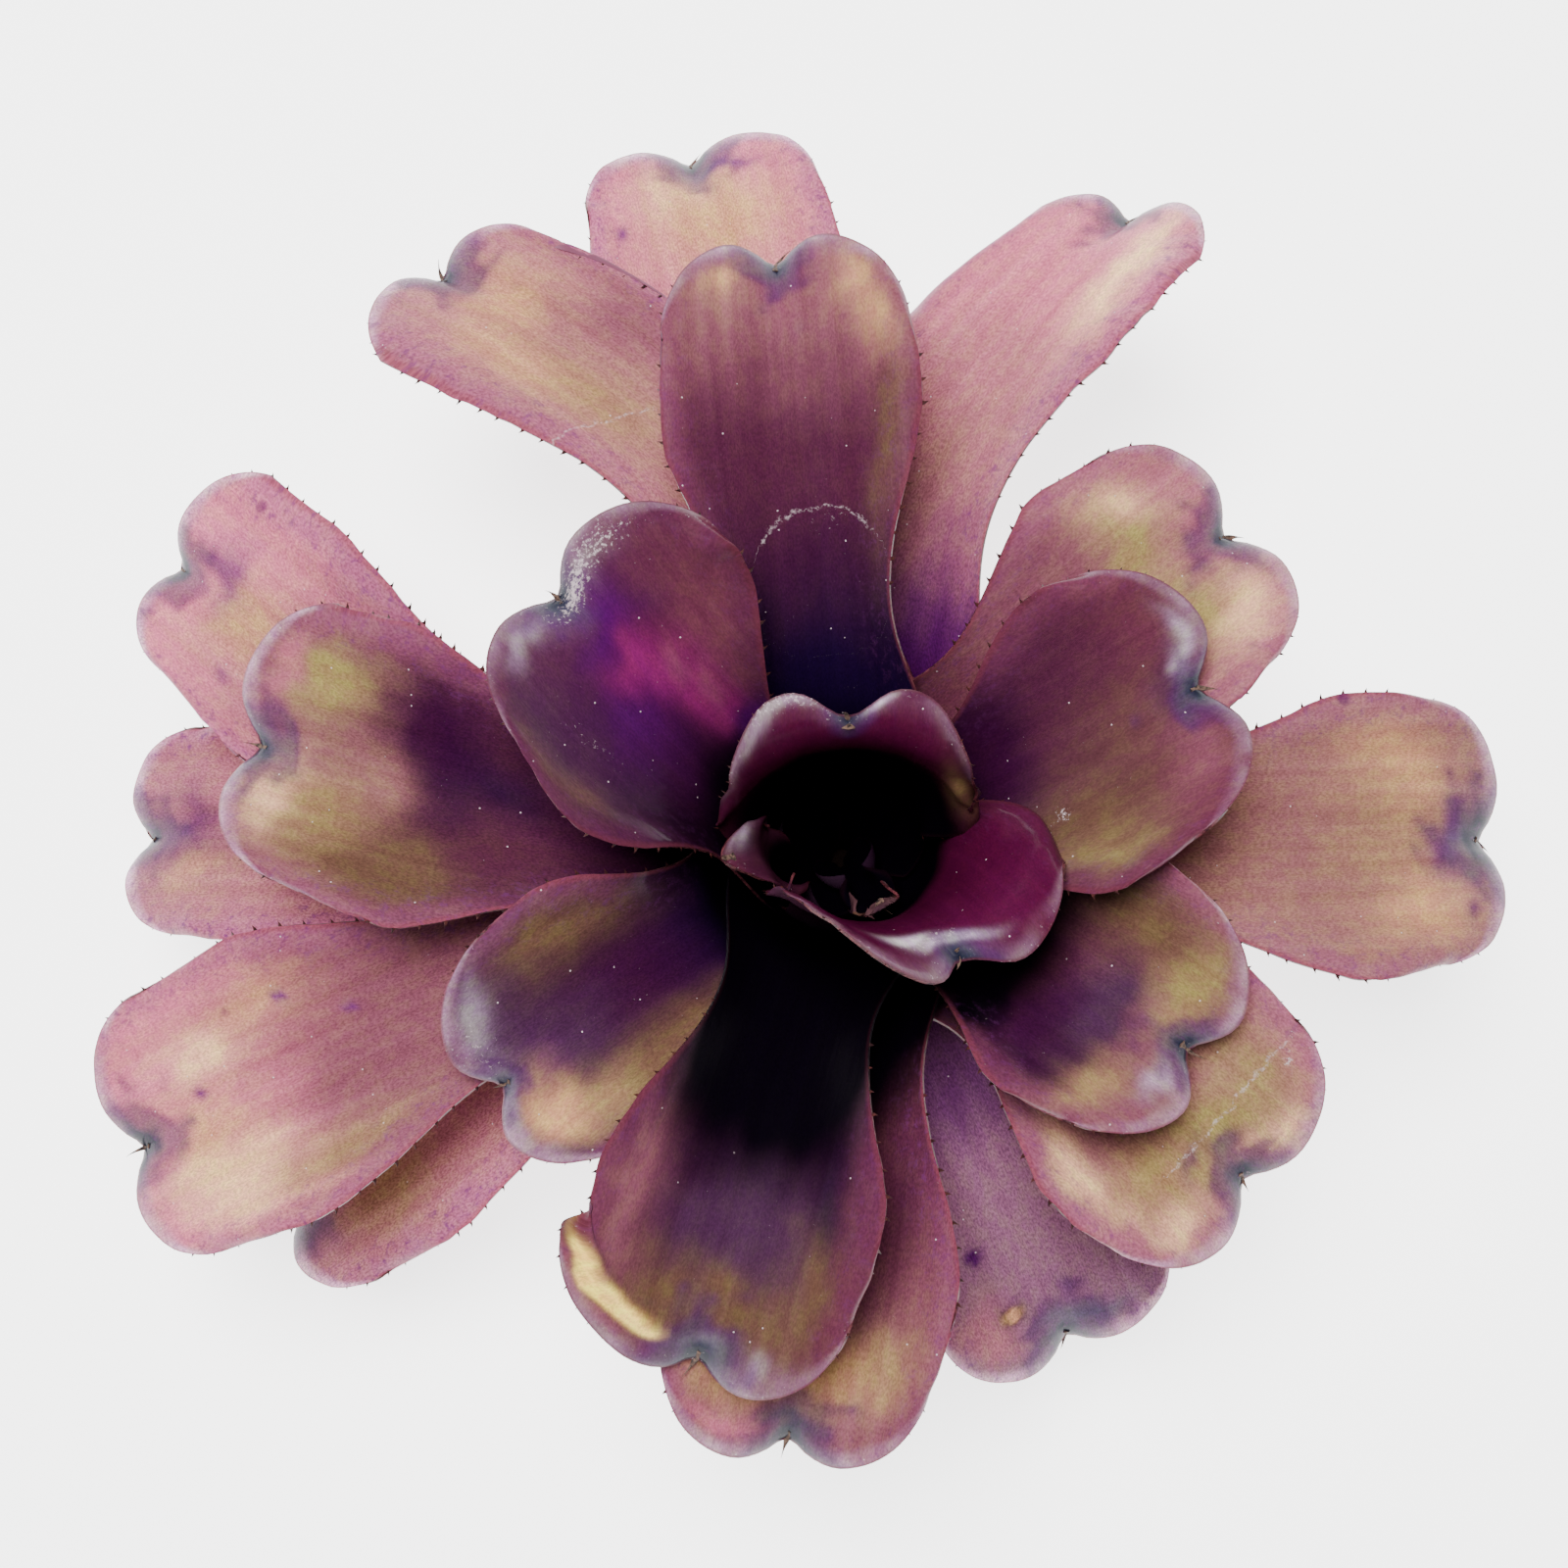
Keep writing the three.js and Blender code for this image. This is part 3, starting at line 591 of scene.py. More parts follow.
def painted(leaf, u, q, flat, points):
    """The colour of each point, and how far it is out of the throat's painted shade. Flat is its place in mm.
    """
    near, middle, far, dark_to, mark, dabs = LOOKS[leaf.layer + 1]
    streaks = wander(np.c_[flat * STREAK, np.zeros(len(u))], 1, leaf.layer)
    blotches = wander(points, BLOTCH_SIZE, leaf.layer + 60)
    u_soft = u + DRIFT[0] * wander(points, DRIFT_SIZE, leaf.layer)
    u_soft = u_soft + STREAK_DRIFT * streaks + BLOTCH_DRIFT[0] * blotches
    q_soft = q + DRIFT[1] * wander(points, DRIFT_SIZE, leaf.layer + 40) + BLOTCH_DRIFT[1] * blotches
    first, second, third = (key - earlier * leaf.age for key, earlier in zip(COLOUR_KEYS, EARLIER))
    colour = blend(np.tile(pigment(near), (len(u), 1)), pigment(middle), smoothstep(u_soft, first, second))
    colour = blend(colour, pigment(far), smoothstep(u_soft, second, third))
    rim_gap = np.minimum((1 - np.abs(q)) * leaf.half_width(u), (1 - u) * leaf.length)
    banded = smoothstep(rim_gap * (1 + 0.6 * blotches), *RIM_BAND) * smoothstep(u, 0.5, 0.72)
    rim_colour = pigment("young_rim") * (1 - leaf.age) + pigment("old_rim") * leaf.age
    colour = blend(colour, rim_colour, (0.2 + 0.5 * leaf.age) * banded)
    for name, *place, strength in dabs:
        small = place[2] < SMALL_DAB
        spots = dab(u, q, *place) if small else dab(u_soft, q_soft, *place)
        colour = blend(colour, pigment(name), strength * spots * (1 if small else 1 - 0.6 * banded))
    # The throat's black: the leaf's dark base, with painted shade over it.
    edge_of_dark = 0.4 * u + 0.6 * u_soft + WALLS_LIT * np.abs(q) ** 3
    lit = smoothstep(edge_of_dark, dark_to - DARK_FADE, dark_to + DARK_FADE)
    colour = blend(colour, pigment("black"), 1 - lit)
    if mark:
        end_gap = (1 - u) * leaf.length
        # A pale band round the end: painted sheen over waxy bloom, stronger on old leaves.
        sheen_and_bloom_amount = (0.06 + 0.75 * leaf.age) * smoothstep(end_gap * (1 + 0.5 * blotches), *SHEEN_AND_BLOOM_BAND)
        frost = pigment("frost") * (1 - leaf.age) + pigment("old_sheen_and_bloom") * leaf.age
        colour = blend(colour, frost, sheen_and_bloom_amount * (0.7 + blotches))
        away = np.hypot(end_gap / (MARK_ALONG * mark), flat[:, 0] / (MARK_ACROSS * mark))
        away = away * (1 + 0.5 * wander(points, 6 * MM, leaf.layer + 80))
        colour = blend(colour, pigment("violet"), 0.6 * bell(away - HALO_AT, HALO_WIDTH))
        colour = blend(colour, pigment("slate"), 1.2 * bell(away, 0.85))
        colour = blend(colour, pigment("steel"), 1.4 * bell(away, 0.55))
    return colour, lit


def scurf_and_sheen(leaf, u, q):
    """How much pale scurf and painted sheen lie at each point: sheen along the rolled rim near the tip, and
    patches.
    """
    rim_gap = np.minimum((1 - np.abs(q)) * leaf.half_width(u), (1 - u) * leaf.length)
    # Along the rolled rim near the tip the pale specks are a painted sheen.
    rim = RIM_SHEEN * smoothstep(rim_gap, *RIM_SHEEN_BAND) * smoothstep(u, 0.84, 0.97)
    return sum((s * dab(u, q, *place) for *place, s in SCURF_AND_SHEEN.get(leaf.layer + 1, [])), rim)


def scarred(leaf, flat):
    """How far each point lies from the leaf's scar, in millimetres."""
    if leaf.layer + 1 not in SCARS:
        return np.full(len(flat), NO_SCAR)
    u, q, radius, reach, way = SCARS[leaf.layer + 1]
    middle = np.array([q * leaf.half_width(u), u * leaf.length])
    centre = middle - (0, way * radius)
    beyond = np.maximum(0, np.linalg.norm(flat - middle, axis=1) - reach)
    away = np.linalg.norm(flat - centre, axis=1) - radius
    return away + np.sign(away) * SCAR_END * beyond


# %% [markdown]
# ## The skin of a leaf
# The skin is smooth and waxy, with fine veins that run its whole length. Under so bright a sky a strong gloss
# would wash the dark colours out, so it is weak in the middle of the blade, gone in the throat, and strongest
# along the rolled rim, where a thin clear coat catches the light. The veins and streaks are noise stretched
# along the leaf, which reads the leaf's own map in metres: across first, then along. Building such a tree of
# nodes by hand takes many lines, so a small class adds and links each node in one.

# %% Helpers that wire a material's nodes
SPOT_CHANCE = (0.81, 0.83)


class Wiring:
    """Adds nodes to one material, each value either a number, a colour or another node's output."""

    def __init__(self, name):
        self.material = bpy.data.materials.new(name)
        self.material.use_nodes = True
        self.tree = self.material.node_tree
        self.skin = self.tree.nodes["Principled BSDF"]

    def feed(self, socket, value):
        if isinstance(value, bpy.types.NodeSocket):
            self.tree.links.new(value, socket)
        elif isinstance(value, tuple) and len(value) == 3 and socket.type == "RGBA":
            socket.default_value = (*value, 1)
        else:
            socket.default_value = value

    def add(self, kind, output=0, settings=None, **inputs):
        node = self.tree.nodes.new(kind)
        for key, value in (settings or {}).items():
            setattr(node, key, value)
        for key, value in inputs.items():
            socket = node.inputs[int(key[1:])] if key[0] == "_" else node.inputs[key.replace("_", " ")]
            self.feed(socket, value)
        return node.outputs[output]

    def math(self, operation, a, b=0.0):
        return self.add("ShaderNodeMath", settings={"operation": operation}, _0=a, _1=b)

    def mix(self, amount, a, b, how="MIX"):
        settings = {"data_type": "RGBA", "blend_type": how, "clamp_factor": True}
        return self.add("ShaderNodeMix", 2, settings, _0=amount, _6=a, _7=b)

    def step(self, value, start, stop):
        """0 below start and 1 above stop, eased between. With stop below start it runs the other way."""
        low, high = min(start, stop), max(start, stop)
        settings = {"interpolation_type": "SMOOTHSTEP"}
        results = {"_1": low, "_2": high, "_3": 0.0, "_4": 1.0}
        if stop < start:
            results = {"_1": low, "_2": high, "_3": 1.0, "_4": 0.0}
        return self.add("ShaderNodeMapRange", settings=settings, _0=value, **results)

    def spread(self, value, low, high):
        return self.add("ShaderNodeMapRange", _0=value, _3=low, _4=high)

    def noise(self, place, scale, detail=3.0, roughness=0.5):
        return self.add("ShaderNodeTexNoise", Vector=place, Scale=scale, Detail=detail, Roughness=roughness)

    def scattered(self, place, scale, size):
        """Round spots, one in every fifth cell or so of a Voronoi pattern."""
        cell = {"Vector": place, "Scale": scale}
        away = self.add("ShaderNodeTexVoronoi", "Distance", **cell)
        chance = self.add("ShaderNodeSeparateColor", 0, _0=self.add("ShaderNodeTexVoronoi", "Color", **cell))
        return self.math("MULTIPLY", self.step(away, size, 0.4 * size), self.step(chance, *SPOT_CHANCE))

    def scaled(self, place, factors):
        return self.add("ShaderNodeMapping", _0=place, Scale=factors)

    def attribute(self, name, output="Fac"):
        return self.add("ShaderNodeAttribute", output, {"attribute_name": name})

    def set(self, **inputs):
        for key, value in inputs.items():
            self.feed(self.skin.inputs[key.replace("_", " ")], value)


# %% The leaf's upper skin: veins and blotches
RIB_SCALE = (560, 8, 1)
STREAK_SCALE = (150, 7, 1)
MOTTLE_SCALE = (260, 150, 1)


def veined(wire, paint, flat):
    """The painted colour with fine veins, wider streaks and soft blotches, and the vein noises themselves."""
    ribs = wire.noise(wire.scaled(flat, RIB_SCALE), 1.0, 2.0)
    streaks = wire.noise(wire.scaled(flat, STREAK_SCALE), 1.0, 3.0)
    mottle = wire.noise(wire.scaled(flat, MOTTLE_SCALE), 1.0, 4.0, 0.65)
    tone = wire.math("MULTIPLY", wire.spread(ribs, 0.82, 1.18), wire.spread(streaks, 0.66, 1.34))
    tone = wire.math("MULTIPLY", tone, wire.spread(mottle, 0.72, 1.28))
    green = wire.math("MULTIPLY", tone, wire.spread(wire.step(mottle, 0.42, 0.62), 0.92, 1.12))
    blue = wire.math("MULTIPLY", tone, wire.spread(wire.step(mottle, 0.42, 0.62), 1.06, 0.95))
    tones = wire.add("ShaderNodeCombineColor", _0=wire.math("POWER", tone, 0.8), _1=green, _2=blue)
    return wire.mix(1.0, paint, tones, "MULTIPLY"), ribs, streaks, mottle


# %% [markdown]
# ## What lies on the skin
# Close up the skin is grainy, dusted with white specks and marked by a few dark spots. The old leaves are
# flecked with violet along their borders, some tips carry crusts of pale scurf, and three leaves bear a thin
# arched scar. Along the rolled rims near the tips the pale specks are a painted sheen. Painting these on the
# mesh would need far more points, so each is a noise or a cell pattern that an attribute of the leaf switches
# on. None of them shows in the black throat.

# %% Scurf, specks, spots and scars on the upper skin
GRAIN_SCALE = (1900, 900, 1)
CLOUD_SCALE = (420, 300, 1)
SPOT_SCALE, SPOT_SIZE = 34.0, 0.1
SPECK_SCALE, SPECK_SIZE = 260.0, 0.09
FLAKE_SCALE = 900.0
WOBBLE_SCALE, WOBBLE_MM = 160.0, 7.0
# The pale tone of specks, scurf and scars, and of the painted sheen near the tips.
PALE_DUST_AND_SHEEN = (214, 196, 200)


def flecked(wire, colour, flat, solid, age):
    """Adds grain, the violet flecks of old borders, white specks, dark spots, scurf with painted sheen, and
    scars.
    """
    lit = wire.attribute("lit")
    grain = wire.noise(wire.scaled(flat, GRAIN_SCALE), 1.0, 3.0, 0.65)
    grain = wire.spread(wire.step(grain, 0.3, 0.7), 0.62, 1.4)
    grain = wire.add("ShaderNodeCombineColor", _0=grain, _1=grain, _2=grain)
    colour = wire.mix(wire.spread(age, 0.3, 1.0), colour, grain, "MULTIPLY")
    clouds = wire.noise(wire.scaled(flat, CLOUD_SCALE), 1.0, 5.0, 0.75)
    border = wire.math("MULTIPLY", wire.step(wire.attribute("edge"), 16.0, 5.0), wire.spread(age, 0.0, 0.75))
    border = wire.math("MULTIPLY", border, wire.math("MULTIPLY", lit, wire.step(clouds, 0.5, 0.66)))
    colour = wire.mix(border, colour, srgb(*PALETTE["orchid"]))

    spots = wire.scattered(solid, SPOT_SCALE, SPOT_SIZE)
    spots = wire.math("MULTIPLY", spots, wire.math("MULTIPLY", lit, 0.6))
    colour = wire.mix(spots, colour, srgb(*PALETTE["violet"]))

    specks = wire.scattered(solid, SPECK_SCALE, SPECK_SIZE)
    flakes = wire.noise(solid, FLAKE_SCALE, 4.0, 0.7)
    # Near the tips this attribute carries painted sheen as well as scurf.
    patch = wire.math("MULTIPLY", wire.attribute("scurf"), 0.26)
    scurf = wire.math("MULTIPLY", wire.step(wire.math("ADD", flakes, patch), 0.68, 0.86), 0.8)
    wobble = wire.math("SUBTRACT", wire.noise(solid, WOBBLE_SCALE, 3.0, 0.6), 0.5)
    wobble = wire.math("MULTIPLY", wobble, WOBBLE_MM)
    line = wire.math("ABSOLUTE", wire.math("ADD", wire.attribute("scar"), wobble))
    scar = wire.math("MULTIPLY", wire.step(line, 0.8, 0.1), wire.step(flakes, 0.42, 0.62))
    pale = wire.math("MAXIMUM", wire.math("MAXIMUM", specks, scurf), wire.math("MULTIPLY", scar, 0.55))
    pale = wire.math("MULTIPLY", pale, lit)
    return wire.mix(wire.math("MULTIPLY", pale, 0.75), colour, srgb(*PALE_DUST_AND_SHEEN)), pale


# %% The upper skin, put together
YOUNG_LINE, OLD_LINE = (52, 16, 28), (150, 72, 88)
LINE_WIDTH = (1.3, 0.2)
COAT_BAND = (9.0, 2.0)


def upper_skin():
    wire = Wiring("leaf_upper")
    flat = wire.add("ShaderNodeUVMap", settings={"uv_map": "UVMap"})
    solid = wire.add("ShaderNodeTexCoord", "Object")
    edge = wire.attribute("edge")
    age = wire.attribute("age")
    colour, ribs, streaks, mottle = veined(wire, wire.attribute("paint", "Color"), flat)
    rim = wire.mix(age, srgb(*YOUNG_LINE), srgb(*OLD_LINE))
    lit = wire.attribute("lit")
    line = wire.math("MULTIPLY", wire.step(edge, *LINE_WIDTH), wire.spread(lit, 0.1, 0.7))
    colour = wire.mix(line, colour, rim)
    colour, pale = flecked(wire, colour, flat, solid, age)

    relief = wire.math("ADD", wire.math("MULTIPLY", ribs, 0.5), wire.math("MULTIPLY", mottle, 0.5))
    relief = wire.math("ADD", relief, wire.math("MULTIPLY", pale, 0.4))
    bump = wire.add("ShaderNodeBump", Strength=0.4, Distance=0.0006, Height=relief)
    rough = wire.math("ADD", wire.spread(streaks, 0.32, 0.48), wire.math("MULTIPLY", pale, 0.3))
    coat = wire.math("MULTIPLY", lit, wire.spread(wire.step(edge, *COAT_BAND), 0.03, 0.3))
    wire.set(Base_Color=colour, Roughness=rough, Normal=bump, Coat_Weight=coat)
    wire.set(Specular_IOR_Level=0.06, Coat_Roughness=0.12)
    return wire.material


# %% [markdown]
# ## Underside, rim and dry parts
# The underside is duller and dusted with grey scurf, more so on old leaves. It takes half of its colour from
# the paint above it, because a leaf is much the same through. The rim, the teeth and the dry points are so
# small that one mottled finish of two tones does for each.

# %% The leaf's underside, its rim, and the brown parts
DULL_SCURF_SCALE = (60, 22, 1)
DULL_SCURF = (150, 132, 146)
PAINT_SHARE = 0.5


def under_skin():
    wire = Wiring("leaf_under")
    flat = wire.add("ShaderNodeUVMap", settings={"uv_map": "UVMap"})
    solid = wire.add("ShaderNodeTexCoord", "Object")
    ribs = wire.noise(wire.scaled(flat, RIB_SCALE), 1.0, 2.0)
    scurf = wire.noise(wire.scaled(flat, DULL_SCURF_SCALE), 1.0, 5.0, 0.7)
    colour = wire.mix(1 - PAINT_SHARE, wire.attribute("paint", "Color"), srgb(*PALETTE["dusk"]))
    haze = wire.math("MULTIPLY", wire.step(scurf, 0.45, 0.7), wire.spread(wire.attribute("age"), 0.03, 0.3))
    colour = wire.mix(haze, colour, srgb(*DULL_SCURF))
    tone = wire.spread(ribs, 0.75, 1.25)
    colour = wire.mix(0.9, colour, wire.add("ShaderNodeCombineColor", _0=tone, _1=tone, _2=tone), "MULTIPLY")
    grain = wire.noise(solid, 900.0, 2.0)
    relief = wire.math("ADD", ribs, wire.math("MULTIPLY", grain, 0.3))
    bump = wire.add("ShaderNodeBump", Strength=0.4, Distance=0.0006, Height=relief)
    wire.set(Base_Color=colour, Roughness=wire.spread(scurf, 0.42, 0.62), Normal=bump)
    wire.set(Specular_IOR_Level=0.25)
    return wire.material


def plain_skin(name, low, high, scale, roughness):
    """A finish that runs between two tones, for the rim, the teeth and the dry points."""
    wire = Wiring(name)
    solid = wire.add("ShaderNodeTexCoord", "Object")
    mottle = wire.noise(solid, scale, 5.0, 0.65)
    colour = wire.mix(wire.step(mottle, 0.35, 0.65), srgb(*low), srgb(*high))
    # In the throat the rim is painted black, as painted shade over the leaf's dark base.
    if name == "leaf_rim":
        colour = wire.mix(wire.attribute("lit"), srgb(*PALETTE["black"]), colour)
    bump = wire.add("ShaderNodeBump", Strength=0.5, Distance=0.0004, Height=mottle)
    wire.set(Base_Color=colour, Roughness=wire.spread(mottle, roughness - 0.1, roughness + 0.1), Normal=bump)
    return wire.material


skins = [
    upper_skin(),
    under_skin(),
    plain_skin("leaf_rim", (44, 16, 24), (104, 52, 58), 500.0, 0.42),
    plain_skin("leaf_tooth", (26, 12, 16), (74, 36, 34), 900.0, 0.45),
    plain_skin("dry_point", (30, 24, 26), (112, 88, 76), 800.0, 0.75),
]
print("finishes:", [skin.name for skin in skins])


# %% [markdown]
# ## A tooth and a dry point, modelled once
# The margins carry small hooked teeth, and every tip ends in a thin dry point that curls as it dies. Both
# repeat many times, so each is modelled once: the tooth from a five-sided cone whose tip is pushed forwards,
# the point from a ring that is extruded and narrowed step by step. Their points are then copied along every
# leaf, and the point is laid along a curled path.

# %% Model the tooth and the dry point
TOOTH_SIDES = 5
TOOTH_LENGTH = 2
TOOTH_BASE = 0.8
TOOTH_THICKNESS = 0.3
TOOTH_LEAN = 0.8
TOOTH_SUNK = 0.35
POINT_SIDES = 8
POINT_STEPS = 11


def template(thing):
    """The corners and faces of a small model, after which its object is removed."""
    mesh = thing.data
    corners = np.array([v.co[:] for v in mesh.vertices])
    faces = [tuple(p.vertices) for p in mesh.polygons]
    bpy.data.objects.remove(thing)
    return corners, faces


def model_tooth():
    """A tooth that points along +Y from the margin, leans towards +X and is flat along Z."""
    bpy.ops.mesh.primitive_cone_add(vertices=TOOTH_SIDES, radius1=TOOTH_BASE, depth=TOOTH_LENGTH)
    tooth = bpy.context.object
    bpy.ops.object.mode_set(mode="EDIT")
    bpy.ops.mesh.select_all(action="SELECT")
    bpy.ops.mesh.subdivide(number_cuts=1)
    bpy.ops.object.mode_set(mode="OBJECT")
    corners, faces = template(tooth)
    height = (corners[:, 2] + TOOTH_LENGTH / 2) / TOOTH_LENGTH
    placed = np.c_[
        corners[:, 0] + TOOTH_LEAN * height**2,
        height * TOOTH_LENGTH - TOOTH_SUNK,
        -corners[:, 1] * TOOTH_THICKNESS / TOOTH_BASE,
    ]
    return placed, faces


def model_point():
    """A closed tube one unit long up Z, whose width is set later."""
    bpy.ops.mesh.primitive_circle_add(vertices=POINT_SIDES, radius=1, fill_type="NGON")
    point = bpy.context.object
    bpy.ops.object.mode_set(mode="EDIT")
    bpy.ops.mesh.select_all(action="SELECT")
    for _ in range(POINT_STEPS):
        bpy.ops.mesh.extrude_region_move(TRANSFORM_OT_translate={"value": (0, 0, 1 / POINT_STEPS)})
    bpy.ops.mesh.select_all(action="SELECT")
    bpy.ops.mesh.normals_make_consistent(inside=False)
    bpy.ops.object.mode_set(mode="OBJECT")
    corners, faces = template(point)
    # Extrude adds its faces in an order that changes from run to run, so they are sorted.
    return corners, sorted(faces)


bpy.ops.object.select_all(action="DESELECT")
tooth_corners, tooth_faces = model_tooth()
point_corners, point_faces = model_point()
print("a tooth has", len(tooth_faces), "faces and a dry point", len(point_faces))


# %% [markdown]
# ## One leaf
# A flat grid is added and its points are moved to the leaf's formula, closer together where the end curls.
# Solidify gives it its thickness: the underside and the rim get finishes of their own. Folding a flat sheet
# by hand would be slower, and it wouldn't follow the plain leaf. The front leaf has one lobe that is folded:
# it is pulled aside and back, and sunk behind a low ridge.

# %% Bend the sheet: crease, rolled rim, dents and the folded lobe, in millimetres
CREASE = 2.6
CREASE_WIDTH = 0.09
CREASE_FROM = 0.88
ROLL = 2.6
ROLL_WIDTH = 7
ROLL_FROM = (0.5, 0.8)
DENT = 1.1
DENT_SIZES = (17, 7)
FOLD_LAYER = 6
FOLD_LINE = ((0.91, -1), (0.945, -0.3))
FOLD_DROP = 2.5
FOLD_SLOPE = (-1, 5)
FOLD_SIDE = (0.15, 0.5)
RIDGE_HEIGHT = 1.2
RIDGE_AT = -1.5
RIDGE_WIDTH = 2.5
LOBE_ACROSS = (0.45, 0.95)
LOBE_ALONG = (0.91, 0.98)
LOBE_WIDER = 0.14
LOBE_BACK = 0.02


def folded(leaf, u, q):
    """How far the folded lobe is pulled aside at each point, from 0 to 1, and how deep it lies, in mm."""
    if leaf.layer != FOLD_LAYER:
        return 0, 0
    (start_u, start_q), (stop_u, stop_q) = FOLD_LINE
    half = leaf.row["width"] / 2
    along, across = (stop_u - start_u) * leaf.length, (stop_q - start_q) * half
    beyond = (u - start_u) * leaf.length * across - (q - start_q) * half * along
    beyond = beyond / math.hypot(along, across)
    drop = FOLD_DROP * smoothstep(beyond, *FOLD_SLOPE) - RIDGE_HEIGHT * bell(beyond - RIDGE_AT, RIDGE_WIDTH)
    pulled = smoothstep(-q, *LOBE_ACROSS) * smoothstep(u, *LOBE_ALONG)
    return pulled, drop * smoothstep(-q, *FOLD_SIDE)


def fine_place(leaf, u, q):
    """The leaf's surface in metres, with the crease of its tip and its rolled, slightly uneven rim."""
    pulled, deeper = folded(leaf, u, q)
    points = leaf.place(u - LOBE_BACK * pulled, q * (1 + LOBE_WIDER * pulled), q)
    half = leaf.half_width(u)
    rim_gap = np.minimum((1 - np.abs(q)) * half, (1 - u) * leaf.length + 4)
    sunk = deeper + ROLL * smoothstep(u, *ROLL_FROM) * np.clip(1 - rim_gap / ROLL_WIDTH, 0, 1) ** 2
    if leaf.row["pinch"] > 3:
        sunk = sunk + CREASE * smoothstep(u, CREASE_FROM, 1) * bell(q, CREASE_WIDTH)
    wide, narrow = DENT_SIZES
    uneven = wander(points, wide, leaf.layer + 20) + 0.5 * wander(points, narrow, leaf.layer + 30)
    sunk = sunk + DENT * smoothstep(u, *ROLL_FROM) * uneven * (0.35 + np.abs(q) ** 4)
    return (points - sunk[..., None] * leaf.facing(u, q)) * MM


# %% Make the sheet of a leaf
ROWS_ALONG = 116
ROWS_ACROSS = 44
ROW_SHARES = ((0, 0.18, 0.6, 1), (0, 0.38, 0.8, 1))
GATHERING = (0.4, 0.9)
THICKEST = 1.1
SHEATH_THICKNESS = 0.8
EDGE_THICKNESS = 0.7
THICKENING = (0.25, 0.5)


def floats(mesh, name, values, kind="FLOAT"):
    """Keeps a number or a colour on every point of a mesh, for the materials to read."""
    layer = mesh.attributes.new(name, kind, "POINT")
    layer.data.foreach_set("value" if kind == "FLOAT" else "color", np.ravel(values).astype(np.float32))


def make_sheet(leaf, name):
    bpy.ops.mesh.primitive_grid_add(x_subdivisions=ROWS_ACROSS, y_subdivisions=ROWS_ALONG, size=2)
    sheet = bpy.context.object
    sheet.name = name
    mesh = sheet.data
    flat = np.empty(3 * len(mesh.vertices), np.float32)
    mesh.vertices.foreach_get("co", flat)
    flat = flat.reshape(-1, 3).astype(float)
    u = np.interp((flat[:, 1] + 1) / 2, *ROW_SHARES)
    gathered = smoothstep(u, *GATHERING)
    q = -flat[:, 0] * (1 - gathered) - np.sin(np.pi / 2 * flat[:, 0]) * gathered
    q = np.clip(q, -1, 1)
    points = fine_place(leaf, u, q)
    mesh.vertices.foreach_set("co", points.ravel())

    half = leaf.half_width(u)
    flat_mm = np.c_[q * half, leaf.share(u, q) * leaf.length]
    corner = np.empty(len(mesh.loops), np.int32)
    mesh.loops.foreach_get("vertex_index", corner)
    mesh.uv_layers.active.data.foreach_set("uv", (flat_mm[corner] * MM).astype(np.float32).ravel())

    rgb, lit = painted(leaf, u, q, flat_mm, points)
    floats(mesh, "paint", np.c_[rgb, np.ones(len(rgb))], "FLOAT_COLOR")
    floats(mesh, "lit", lit)
    # This attribute holds scurf and the painted sheen along the rims near the tips.
    floats(mesh, "scurf", scurf_and_sheen(leaf, u, q))
    floats(mesh, "scar", scarred(leaf, flat_mm))
    end_gap = (1 - u) * leaf.length
    floats(mesh, "edge", np.minimum((1 - np.abs(q)) * half, end_gap))
    floats(mesh, "age", np.full(len(u), leaf.age))

    middle = SHEATH_THICKNESS + (THICKEST - SHEATH_THICKNESS) * smoothstep(u, *THICKENING)
    thickness = middle + (EDGE_THICKNESS - middle) * q**2
    group = sheet.vertex_groups.new(name="thickness")
    for index, value in enumerate(thickness / THICKEST):
        group.add([index], float(value), "REPLACE")
    for skin in skins[:3]:
        mesh.materials.append(skin)
    solidify = sheet.modifiers.new("wall", "SOLIDIFY")
    solidify.thickness = THICKEST * MM
    solidify.offset = 0
    solidify.vertex_group = "thickness"
    solidify.use_quality_normals = True
    solidify.material_offset = 1
    solidify.material_offset_rim = 2
    bpy.ops.object.modifier_apply(modifier="wall")
    return sheet


# %% [markdown]
# ## Teeth and dry point in place
# The margin is walked in small steps, and every 7.4 mm, give or take a little, a tooth is turned to the
# margin there and set on it. An array modifier on a curve would space them too evenly. The dry point follows
# a path that curls and swings by a seeded chance, so that no two are alike.

# %% Set the teeth along the margins
TOOTH_GAP = 7.4
FIRST_TOOTH = 3
TOOTH_STRAY = 1.2
TOOTH_SIZES = (0.75, 1.15)
YOUNG_TOOTH = 0.4
TOOTH_FADE = 0.6
FADE_FROM = 0.6
YOUNG_LEAVES = 2
TEETH_FROM = 0.5
MARGIN_STEPS = 400
LAST_TOOTH_AT = 0.62


def margin_path(side):
    """The (u, q) of a margin from the waist to the lobe, and on round the end towards the notch."""
    up = np.linspace(TEETH_FROM, 1, MARGIN_STEPS)
    round_end = np.linspace(1, LAST_TOOTH_AT, MARGIN_STEPS // 3)[1:]
    return np.r_[up, np.ones_like(round_end)], side * np.r_[np.ones_like(up), round_end]


